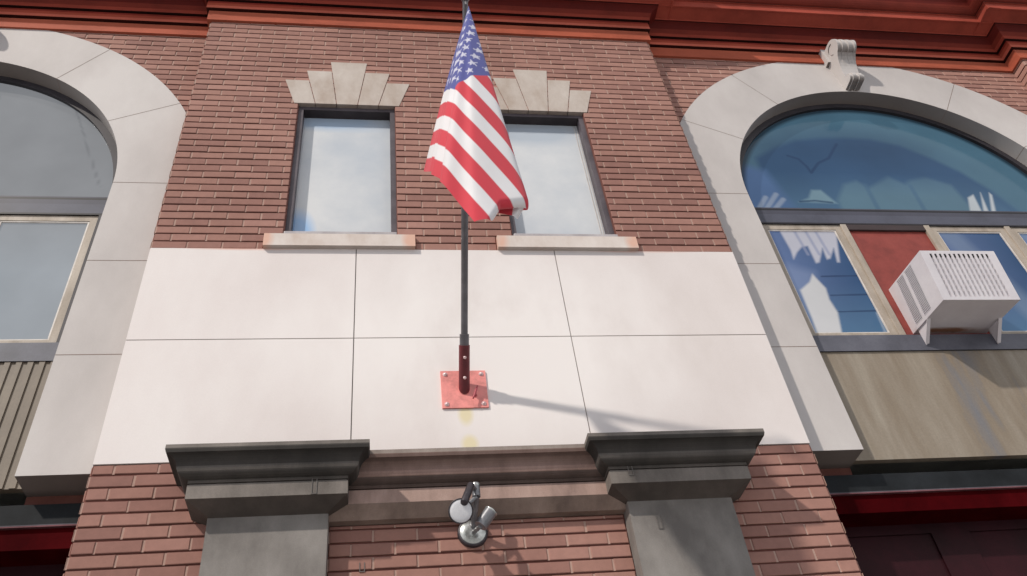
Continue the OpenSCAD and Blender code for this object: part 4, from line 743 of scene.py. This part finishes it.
def paintLight(u, z, number):
    # Blue glass painted with reflections, darker to the right and paler low down, with a torn curtain and a
    # painted sheen in the first light and pale streaks of painted reflection in the others
    layers = [("#7389b8", 1.0), ("#40628f", ramp(u - lights[number][0], 0, 0.55)),
        ("#6288ad", ramp(z, 5.5, 5.0))]
    if number > 0:
        middle = sum(lights[number]) / 2
        layers.append(("#9fb3cf", 0.45 * stroke(u, z, [(middle - 0.2, 6.1), (middle + 0.15, 5.0)], 0.09)))
        return layered(u, layers)
    torn = [(-1.22, 6.1), (-1.2, 5.83), (-1.21, 5.73), (-1.16, 5.8), (-1.1, 5.86), (-1.05, 5.87),
        (-1.05, 5.69), (-1.02, 5.7), (-0.94, 5.85), (-0.95, 5.73), (-0.92, 5.74), (-0.85, 5.85),
        (-0.88, 5.7), (-0.86, 5.7), (-0.74, 6.1)]
    sheen = [(-1.35, 5.7), (-1.1, 5.6), (-1.28, 5.0), (-1.4, 5.0)]
    curtain = [(-1.27, 5.42), (-1.17, 5.5), (-1.12, 5.58), (-1.1, 5.52), (-1.07, 5.44), (-1.085, 5.33),
        (-1.07, 5.21), (-1.13, 4.95), (-1.3, 4.95), (-1.28, 5.16)]
    wedge = [(-0.78, 5.2), (-0.8, 4.95), (-0.97, 4.95)]
    layers.append(("#e3e2ee", 0.92 * softShape(u, z, torn, 0.02)))
    layers += [("#a9b0cf", 0.7 * stroke(u, z, [(x - 0.02, 6.05), (x, 5.78)], 0.012))
        for x in (-1.08, -0.99, -0.91)]
    layers += [("#9fb0d6", 0.5 * softShape(u, z, sheen, 0.1)), ("#eeedef", softShape(u, z, curtain, 0.02))]
    layers += [("#25365c", 0.7 * stroke(u, z, [(-1.06, level), (-0.7, level + 0.01)], 0.006))
        for level in (5.555, 5.37, 5.215)]
    return layered(u, layers + [("#aebfd4", 0.7 * stroke(u, z, wedge, 0.01))])


def paintHaze(u, z):
    # The left bay's glass is painted with the reflection of a bright haze, with two faint lines and a cyan
    # patch
    layers = [("#aaadb2", 1.0), ("#c2c9d1", ramp(z, 6.2, 5.6)),
        ("#9fc0cf", 0.6 * np.exp(-((u - 0.55) ** 2 + (z - 5.35) ** 2) / 0.06))]
    layers += [("#85888e", 0.5 * stroke(u, z, path, 0.006))
        for path in ([(0.1, 6.1), (0.75, 5.0)], [(0.9, 7.4), (1.3, 6.4)])]
    return layered(u, layers)


def paneGrid(u0, u1, z0, z1, fan, cell):
    # A level grid of the pane; a fan squeezes each row into the half disc, u times sqrt(R*R - z*z) / R
    cols = int((u1 - u0) / cell)
    rows = int((z1 - z0) / cell)
    u, z = np.meshgrid(np.linspace(u0, u1, cols), np.linspace(z0, z1, rows))
    if fan:
        half = np.sqrt(np.maximum(panes["radius"] ** 2 - (z - z0) ** 2, panes["tip"] ** 2))
        u = u * half / panes["radius"]
    return u, z, gridFaces(rows, cols)


parts, colours = [], []
radius, spring = panes["radius"], f["springZ"]
for s, cell in zip((-1, 1), panes["cells"]):
    # The hazy left bay has a coarser grid than the detailed right one, whose second light holds the board
    grids = [(paneGrid(-radius, radius, spring, spring + radius, True, cell), None)]
    grids += [(paneGrid(low, high, panes["footZ"], panes["topZ"], False, cell), i)
        for i, (low, high) in enumerate(lights) if (s, i) != boardLight]
    for (u, z, faces), number in grids:
        colour = paintHaze(u, z) if s < 0 else paintFan(u, z) if number is None else paintLight(u, z, number)
        points = np.stack([s * f["archX"] + u, np.full(u.shape, panes["y"]), z], axis=-1)
        parts.append((points.reshape(-1, 3), faces))
        colours.append(np.concatenate([colour, np.ones(u.shape + (1,))], axis=-1).reshape(-1, 4))


def tinted(name, mesh, colours, sockets):
    # A colour attribute with a faint cloud over it
    tint = mesh.attributes.new("tint", "FLOAT_COLOR", "POINT")
    tint.data.foreach_set("color", np.concatenate(colours).astype(np.float32).ravel())
    material, tree, shader, coords = startMaterial(name, sockets)
    seen = addNode(tree, "Attribute", {"attribute_name": "tint"})
    cloud = addNode(tree, "TexNoise", {"Scale": 1.6, "Detail": 4.0}, {"Vector": coords["Object"]})
    shade = addNode(tree, "ValToRGB", {"stops": [(0.3, 0.82), (0.7, 1.0)]}, {"Fac": cloud})
    colour = multiplied(tree, seen, shade)
    tree.links.new(colour, shader.inputs["Base Color"])
    return material, tree, shader, colour


# Plate glass with a thin shine, whose painted reflections also glow a little like the sky they mirror
paneMesh = fillMesh("arch_window_panes", *joined(parts))
plateGlass, glassTree, glassShader, glassTint = tinted("blue_plate_glass", paneMesh, colours,
    {"Roughness": 0.1, "Specular IOR Level": 0.08, "Emission Strength": panes["glow"]})
lit = addNode(glassTree, "Value").outputs[0]
lit.default_value = panes["lit"]
# Most of a pane's light doesn't come off its face
glassTree.links.new(multiplied(glassTree, glassTint, lit), glassShader.inputs["Base Color"])
glassTree.links.new(glassTint, glassShader.inputs["Emission Color"])
addPiece("arch_window_panes", paneMesh, plateGlass, ["arch_window_glass"])
print("arched panes painted:", len(paneMesh.polygons), "faces")

# The flag: cut 0.914 by 1.524 m and hung by its upper hoist corner. The point h from the top edge and r from
# the hoist lies at distance sqrt(h*h + r*r) from that corner, along a way that depends on its angle from the
# hoist alone, so the cloth bends like a cone and isn't stretched; near the hoist the way also turns with
# distance
flagCut = {
    "hoist": 0.914, "fly": 1.524, "corner": (-0.014, -9.514, 5.806), "rows": 150, "cols": 250, "stripes": 13,
    "cantonFly": 0.4, "cantonStripes": 7, "starRadius": 0.0308, "blue": "#565b9e", "red": "#d5414f",
    "white": "#ecebee", "angles": (0, 20, 38, 51.2, 59.1, 64.5, 66.2, 67.6, 69.8, 74, 79, 84, 90),
    "ways": [(-0.252, 0.762, -0.596), (-0.23, 0.49, -0.842), (-0.2, 0.21, -0.957), (-0.155, 0.016, -0.988),
    (-0.061, -0.031, -0.998), (0.05, -0.001, -0.999), (0.08, 0.008, -0.997), (0.1, 0.03, -0.995),
    (0.075, 0.044, -0.996), (0.02, 0.05, -0.999), (-0.05, 0.056, -0.997), (0.03, 0.066, -0.997),
    (-0.05, 0.078, -0.996)], "hoistTop": (-0.281, 0.458, -0.843), "blur": 0.8, "waves": 7, "curl": 0.105,
    "curlRadius": 0.026, "curlAngles": (60.5, 72), "star": "#d3d3e6", "starRows": 9, "starCols": 11,
    "steps": 900, "slackBlur": 61, "slackEnd": 62, "slackFade": 10, "slackLeast": 0.1, "slackMost": 0.1,
    "paceLeast": 0.3, "sway": 0.35, "swayRate": 7, "liftShare": 1.2, "topTurn": 35, "curlEase": (2, 3),
    "tipLeast": 0.5,
}


def smoothed(values, kernel):
    # Each column blurred along its length, its ends held
    pad = len(kernel) // 2
    padded = np.pad(values, ((pad, pad), (0, 0)), mode="edge")
    return np.stack([np.convolve(column, kernel, mode="valid") for column in padded.T], axis=-1)


def coneWays(angles):
    # Ways between the given ones, smoothed, with ripples square to the cloth that take up its slack
    fine = np.linspace(0, 90, flagCut["steps"] + 1)
    step = 90 / flagCut["steps"]
    ways = np.stack([np.interp(fine, flagCut["angles"], column) for column in np.array(flagCut["ways"]).T],
        axis=-1)
    kernel = np.exp(-np.linspace(-2, 2, int(4 * flagCut["blur"] / step) + 1) ** 2)
    ways = unit(smoothed(ways, kernel / kernel.sum()))
    pace = np.gradient(ways, axis=0)
    speed = np.linalg.norm(pace, axis=1) / math.radians(step)
    slack = 1 / np.maximum(speed, flagCut["paceLeast"]) ** 2 - 1
    slack = np.sqrt(np.clip(slack, 0, flagCut["slackMost"]))
    end = flagCut["slackEnd"]
    slack *= np.maximum(ramp(fine, end, end - flagCut["slackFade"]), flagCut["slackLeast"])
    slack = smoothed(slack[:, None], np.ones(flagCut["slackBlur"]) / flagCut["slackBlur"])[:, 0]
    turns = flagCut["waves"] * fine / 90 + flagCut["sway"] * np.sin(np.radians(fine * flagCut["swayRate"]))
    lift = slack / (4 * flagCut["waves"]) * flagCut["liftShare"] * np.sin(2 * np.pi * turns)
    ways = unit(ways + unit(np.cross(ways, pace)) * lift[:, None])
    return np.stack([np.interp(angles, fine, ways[:, i]) for i in range(3)], axis=-1)


def starMask(x, y, radius):
    # A five-pointed star with one point up: within each tenth of a turn its edge is a straight line
    distance = np.hypot(x, y)
    angle = np.degrees(np.arctan2(x, y))
    fold = np.abs((angle + 36) % 72 - 36)
    return distance * np.cos(np.radians(fold - 72)) <= radius * math.cos(math.radians(72))


def flagTints(h, r):
    # Stripes along the fly, and a blue corner with staggered rows of stars
    stripe = np.minimum((h / flagCut["hoist"] * flagCut["stripes"]).astype(int), flagCut["stripes"] - 1)
    tints = np.where((stripe % 2 == 0)[..., None], toLinear(flagCut["red"]), toLinear(flagCut["white"]))
    deep = flagCut["hoist"] * flagCut["cantonStripes"] / flagCut["stripes"]
    wide = flagCut["fly"] * flagCut["cantonFly"]
    canton = (h < deep) & (r < wide)
    tints[canton] = toLinear(flagCut["blue"])
    rows, cols = flagCut["starRows"], flagCut["starCols"]
    for row in range(rows):
        for col in range(row % 2, cols, 2):
            right, down = (col + 1) * wide / (cols + 1), (row + 1) * deep / (rows + 1)
            star = starMask(r - right, down - h, flagCut["starRadius"])
            tints[star & canton] = toLinear(flagCut["star"])
    return tints


h, r = np.meshgrid(np.linspace(0, flagCut["hoist"], flagCut["rows"]),
    np.linspace(0, flagCut["fly"], flagCut["cols"]), indexing="ij")
reachOf = np.hypot(h, r)
angleOf = np.degrees(np.arctan2(r, h))
nearTop = ramp(reachOf, flagCut["hoist"], 0) * ramp(angleOf, flagCut["topTurn"], 0)
topShift = np.array(flagCut["hoistTop"]) - flagCut["ways"][0]
ways = unit(coneWays(angleOf) + topShift * nearTop[..., None])
# The fly edge curls up behind over some of the angles
curlFrom, curlTo = flagCut["curlAngles"]
easeIn, easeOut = flagCut["curlEase"]
curled = ramp(angleOf, curlFrom, curlFrom + easeIn) * ramp(angleOf, curlTo, curlTo - easeOut)
past = np.clip(r - flagCut["fly"] + flagCut["curl"] * curled, 0, None)
past /= np.maximum(np.sin(np.radians(angleOf)), flagCut["tipLeast"])
bend = past / flagCut["curlRadius"]
hung = reachOf - past + flagCut["curlRadius"] * np.sin(bend)
points = np.array(flagCut["corner"]) + hung[..., None] * ways
points[..., 1] += flagCut["curlRadius"] * (1 - np.cos(bend))
flagMesh = fillMesh("flag_cloth", points, gridFaces(flagCut["rows"], flagCut["cols"]))
# Woven nylon, its edges lit by a soft sheen
flagFinish = tinted("woven_nylon_flag", flagMesh, [flagTints(h, r).reshape(-1, 4)],
    {"Roughness": 0.75, "Specular IOR Level": 0.2, "Sheen Weight": 0.15})[0]
cloth = addPiece("flag_cloth", flagMesh, flagFinish, ["flag"], True)
print("flag hung")

# Wooden casings of the mullions, with beads round the panes and a dark strip of painted shadow at the head
# of the board
casing = {"half": 0.0235, "front": 0.268, "back": 0.3, "foot": 4.96, "top": 6.085, "bead": 0.011,
    "beadY": (0.286, 0.2968), "pitch": 0.6955, "sashTop": 6.035, "sashFoot": 5.01,
    "boardX": (-0.6725, -0.023), "boardHead": 0.058, "headY": (0.27, 0.2898)}
mullions, beads = [], []
for s in (-1, 1):
    for i in (-1, 0, 1):
        x = s * f["archX"] + i * casing["pitch"]
        mullions.append([[x - casing["half"], y0 + casing["front"], casing["foot"]],
            [x + casing["half"], y0 + casing["back"], casing["top"]]])
    for i, (low, high) in enumerate(lights):
        if (s, i) == boardLight:
            continue
        a, b = s * f["archX"] + low, s * f["archX"] + high
        fore, back = (y0 + y for y in casing["beadY"])
        foot, top, w = casing["sashFoot"], casing["sashTop"], casing["bead"]
        beads += [[[a, fore, foot], [a + w, back, top]], [[b - w, fore, foot], [b, back, top]],
            [[a + w, fore, foot], [b - w, back, foot + w]], [[a + w, fore, top - w], [b - w, back, top]]]


def bevelled(piece, width):
    # Edges rounded in two steps
    bevel = piece.modifiers.new("bevel", "BEVEL")
    bevel.width = width
    bevel.segments = 2
    bevel.limit_method = "ANGLE"
    return piece


bevelled(addPiece("mullion_casings", boxes(mullions), finishes["cream_wood"]), 0.003)
# Moulded glazing bead, a slightly grimy white
whiteBead = weathered("white_glazing_bead", ["#bdb5ae", "#d4cdc7", "#e0dad5"], 0.1, 0.006, 0.0004, rough=0.5)
bevelled(addPiece("sash_beads", boxes(beads), whiteBead), 0.002)
board = f["archX"] + np.array(casing["boardX"])
# The head strip is dark brown, nearly black, a painted shadow under the transom
headBox = [[[board[0], y0 + casing["headY"][0], casing["top"] - casing["boardHead"]],
    [board[1], y0 + casing["headY"][1], casing["top"]]]]
bevelled(addPiece("board_head_shadow_strip", boxes(headBox), weathered("dark_painted_shadow", ["#2a1c1c", "#36262a"],
    0.2, 0.01, 0.0004, rough=0.6)), 0.003)

# Bright metal sills under the two flat-headed windows, double lines of their sashes and cards behind the
# right pane
subsill = {"half": 0.35, "y": (-0.034, 0.024), "z": (5.594, 5.62), "lineX": (0.286, 0.304), "lineW": 0.004,
    "lineZ": (5.648, 7.0), "lineDeep": 0.004, "glassY": 0.0965, "cards": ((0.49, 0.6), (0.62, 0.74)),
    "cardZ": (5.647, 5.7), "cardDeep": 0.001}
sills = [[[s * f["windowX"] - subsill["half"], y0 + subsill["y"][0], subsill["z"][0]],
    [s * f["windowX"] + subsill["half"], y0 + subsill["y"][1], subsill["z"][1]]] for s in (-1, 1)]
# Extruded aluminium, dull and whitish
sillMetal = weathered("dull_white_aluminium", ["#a09a9d", "#b3adb0", "#c3bec1"], 0.2, 0.01, 0.0003,
    rough=0.45)
bevelled(addPiece("window_subsills", boxes(sills), sillMetal), 0.004)
glassY = y0 + subsill["glassY"]
sashLines = [[[f["windowX"] + x, glassY - subsill["lineDeep"], subsill["lineZ"][0]],
    [f["windowX"] + x + subsill["lineW"], glassY, subsill["lineZ"][1]]] for x in subsill["lineX"]]
addPiece("sash_line_beads", boxes(sashLines), whiteBead)
# Matt white card, bright behind the glass
cards = [[[a, glassY - subsill["cardDeep"], subsill["cardZ"][0]], [b, glassY, subsill["cardZ"][1]]]
    for a, b in subsill["cards"]]
addPiece("window_cards", boxes(cards), weathered("white_card", ["#e2e4e8", "#eceef0"], 0.1, 0.01, 0.0001,
    rough=0.7))
print("joinery and sills dressed")

# Air conditioner: wires over the grille, black strips of painted shade in the tops of its slots and finned
# louvres in its sides
cooler = {"x": 3.37625, "front": -0.1, "foot": 4.96, "tilt": 6.5, "w": 0.554, "h": 0.41, "margin": 0.052,
    "bars": 13, "slot": 0.016, "louvre": 0.085, "wires": 7, "wire": 0.0022, "wireY": (0.001, 0.005),
    "fins": 26, "fin": 0.005, "skin": 0.001, "shadeShare": 0.94, "shadeY": 0.003, "louvreAt": 2.6}


def onCase(corners):
    # Boxes drawn on the case at rest, turned with its tilt about the lower front edge
    points, faces = boxes(corners)
    a = math.radians(cooler["tilt"])
    y = points[:, 1] * math.cos(a) - points[:, 2] * math.sin(a)
    z = points[:, 1] * math.sin(a) + points[:, 2] * math.cos(a)
    return np.stack([points[:, 0] + cooler["x"], y + y0 + cooler["front"], z + cooler["foot"]],
        axis=-1), faces


pitch = (cooler["w"] - 2 * cooler["margin"]) / cooler["bars"]
rise = cooler["margin"] / 2
lowZ, highZ = rise, cooler["h"] - rise
innerX = cooler["w"] / 2 - cooler["margin"]
# A slot takes the middle half of each bar's pitch
slotX = -innerX + (np.arange(cooler["bars"]) + 0.25) * pitch
skin, slotBack = cooler["skin"], cooler["slot"] - 0.4 * cooler["skin"]
shadeZ = lowZ + cooler["shadeShare"] * (highZ - lowZ)
slotFloors = [[[x, cooler["slot"] - skin, lowZ], [x + pitch / 2, slotBack, shadeZ]] for x in slotX]
slotHeads = [[[x, cooler["shadeY"], shadeZ], [x + pitch / 2, slotBack, highZ]] for x in slotX]
wires = [[[-innerX, cooler["wireY"][0], z], [innerX, cooler["wireY"][1], z + cooler["wire"]]]
    for z in np.linspace(lowZ, highZ, cooler["wires"] + 2)[1:-1]]
# Upright louvres in each side: a back, and fins from it to just under the case's face
finSides, finBacks = [], []
low, high, top = (cooler["w"] - cooler["slot"]) / 2, cooler["w"] / 2 - skin, lowZ + cooler["h"] - 1.5 * rise
for s in (-1, 1):
    for j in (0, 1):
        a = cooler["louvreAt"] * cooler["margin"] + j * (cooler["louvre"] + rise)
        b = a + cooler["louvre"]
        near, far = sorted((s * low, s * (low + 0.6 * skin)))
        finBacks.append([[near, a, lowZ], [far, b, top]])
        near, far = sorted((s * low, s * high))
        for z in np.linspace(lowZ + 4 * skin, top - 10 * skin, cooler["fins"]):
            finSides.append([[near, a, z], [far, b, z + cooler["fin"]]])
# Rolled coil metal, a light cold grey behind the slots, and black painted shade over them
greyMetal = weathered("grey_coil_metal", ["#b2b4bc", "#c0c2c9", "#cccdd3"], 0.1, 0.004, 0.0003, rough=0.5)
paintedSlotShadow = weathered("painted_slot_shadow", ["#17171b", "#222227"], 0.1, 0.01, 0.0002, rough=0.8)
addPiece("cooler_grille_backs", onCase(slotFloors), greyMetal)
addPiece("cooler_grille_shade", onCase(slotHeads), paintedSlotShadow)
addPiece("cooler_grille_wires", onCase(wires), finishes["appliance_white"])
addPiece("cooler_louvre_backs", onCase(finBacks), greyMetal)
addPiece("cooler_louvre_fins", onCase(finSides), finishes["appliance_white"])
print("air conditioner dressed")

# Pole bracket: four domed bolts, two screws in the socket and a cleat beside it; the profiles are (distance
# along the axis, radius)
bracketAt = {"x": -0.028, "y": y0 - 0.022, "z": 4.378, "reach": 0.1, "socketR": 0.03,
    "screws": (0.065, 0.175), "cleat": (0.055, 0, -0.045), "stem": 0.03, "hornWay": (0.35, 0, 1)}
bolt = [(0, 0.0135), (0.0025, 0.0135), (0.003, 0.0095), (0.007, 0.0085), (0.01, 0.0055), (0.0112, 0.0)]
screw = [(-0.002, 0.009), (0.003, 0.009), (0.006, 0.006), (0.007, 0.0)]
middle = np.array([bracketAt[axis] for axis in "xyz"])
parts = [turned(middle + np.array([a, 0, b]) * bracketAt["reach"], (0, -1, 0), bolt, 12) for a in (-1, 1)
    for b in (-1, 1)]
lean = math.sqrt(0.5)  # the socket leans out at 45 degrees, and a screw stands square to it
for at in bracketAt["screws"]:
    place = middle + lean * np.array([0, -at - bracketAt["socketR"], at - bracketAt["socketR"]])
    parts.append(turned(place, (0, -1, -1), screw, 12))
# Zinc-plated bolt heads, tinted pink as a painted reflection of the red plate round them
zinc = weathered("zinc_bolt_heads", ["#d9b9bb", "#edd3d4", "#f6e4e4"], 0.02, 0.002, 0.0002, rough=0.35,
    metal=0.3)
addPiece("bracket_bolts", joined(parts), zinc, smooth=True)
# Cast cleat in faded red paint
horns = [(-0.045, 0.0), (-0.045, 0.004), (-0.03, 0.006), (-0.01, 0.0065), (0.01, 0.0065), (0.03, 0.006),
    (0.045, 0.004), (0.045, 0.0)]
stem = [(-0.001, 0.012), (0.004, 0.011), (0.012, 0.006), (0.03, 0.006)]
cleatAt = middle + bracketAt["cleat"]
parts = [turned(cleatAt - [0, bracketAt["stem"], 0], bracketAt["hornWay"], horns, 10),
    turned(cleatAt, (0, -1, 0), stem, 10)]
addPiece("rope_cleat", joined(parts), weathered("red_painted_cleat", ["#a8404a", "#bd5560"], 0.03, 0.003,
    0.0003, rough=0.45), smooth=True)
print("bracket dressed")

# Floodlight: white lens, dark stem and canopy ring, bright canopy and holder rim; the places are shares of
# the reach
lamp = {"x": -0.044, "z": 3.527, "reach": 0.17, "back": (-0.37, -0.98, 0.22), "face": (-0.43, -1.47, -0.05),
    "length": 0.1, "stemTop": (-0.09, -1.38, 0.78), "stemFoot": (-0.35, -1.68, 0.08),
    "holderFoot": (0.1, -1.18, -0.36), "holderRim": (0.42, -1.22, 0.05), "sensor": (0.08, -1.0, 0.62),
    "knob": (0, 0, 0.055)}
lampAt = np.array([lamp["x"], y0, lamp["z"]])


def lampPoint(name):
    # A place of the lamp, from its share of the reach
    return lampAt + lamp["reach"] * np.array(lamp[name])


aim = unit(lampPoint("face") - lampPoint("back"))
lensAt = lampPoint("back") + lamp["length"] * aim
lampLens = turned(lensAt, aim, [(0.0005, 0.0515), (0.002, 0.05), (0.004, 0.035), (0.005, 0.015),
    (0.0052, 0.0)], 32)
lensRim = turned(lensAt, aim, [(-0.02, 0.0575), (0.003, 0.0575), (0.003, 0.0515), (0.0, 0.0515)], 32)
stemWay = lampPoint("stemFoot") - lampPoint("stemTop")
stemLong = np.linalg.norm(stemWay)
stemTube = turned(lampPoint("stemTop"), stemWay, [(-0.002, 0.0), (-0.002, 0.0165), (0.004, 0.0178),
    (stemLong - 0.004, 0.0178), (stemLong + 0.002, 0.016), (stemLong + 0.002, 0.0)], 20)
canopyRing = turned(lampAt, (0, -1, 0), [(0, 0.073), (0.026, 0.073), (0.033, 0.0705), (0.034, 0.063)], 32)
canopyFace = turned(lampAt, (0, -1, 0), [(0.0325, 0.0632), (0.036, 0.058), (0.042, 0.045), (0.046, 0.025),
    (0.047, 0)], 32)
rimWay = lampPoint("holderRim") - lampPoint("holderFoot")
rimLong = np.linalg.norm(rimWay)
holderRing = turned(lampPoint("holderFoot"), rimWay, [(rimLong - 0.007, 0.0312), (rimLong - 0.003, 0.0335),
    (rimLong + 0.002, 0.0325), (rimLong + 0.001, 0.0255)], 24)
knob = turned(lampPoint("sensor") + lamp["knob"], (0, 0, 1),
    [(0, 0.0205), (0.008, 0.0215), (0.016, 0.018), (0.022, 0.01), (0.024, 0.0)], 20)
# A frosted lens, smooth and nearly white; weathered cast metal, brown-black; chrome-plated fittings with
# soft bright patches
addPiece("lamp_lens", lampLens, weathered("frosted_white_lens", ["#dcdde3", "#e9eaef"], 0.05, 0.004, 0.0002,
    rough=0.3), smooth=True)
addPiece("lamp_dark_fittings", joined([lensRim, stemTube, canopyRing]),
    weathered("dark_weathered_metal", ["#2e2a2f", "#3c373d", "#4b464b"], 0.05, 0.003, 0.0003, rough=0.45,
    metal=0.4), smooth=True)
addPiece("lamp_bright_fittings", joined([canopyFace, holderRing, knob]),
    weathered("chromed_fitting", ["#8f9391", "#b1b4b3", "#d2d4d4"], 0.04, 0.003, 0.0002, rough=0.25,
    metal=0.7), smooth=True)
print("floodlight dressed")
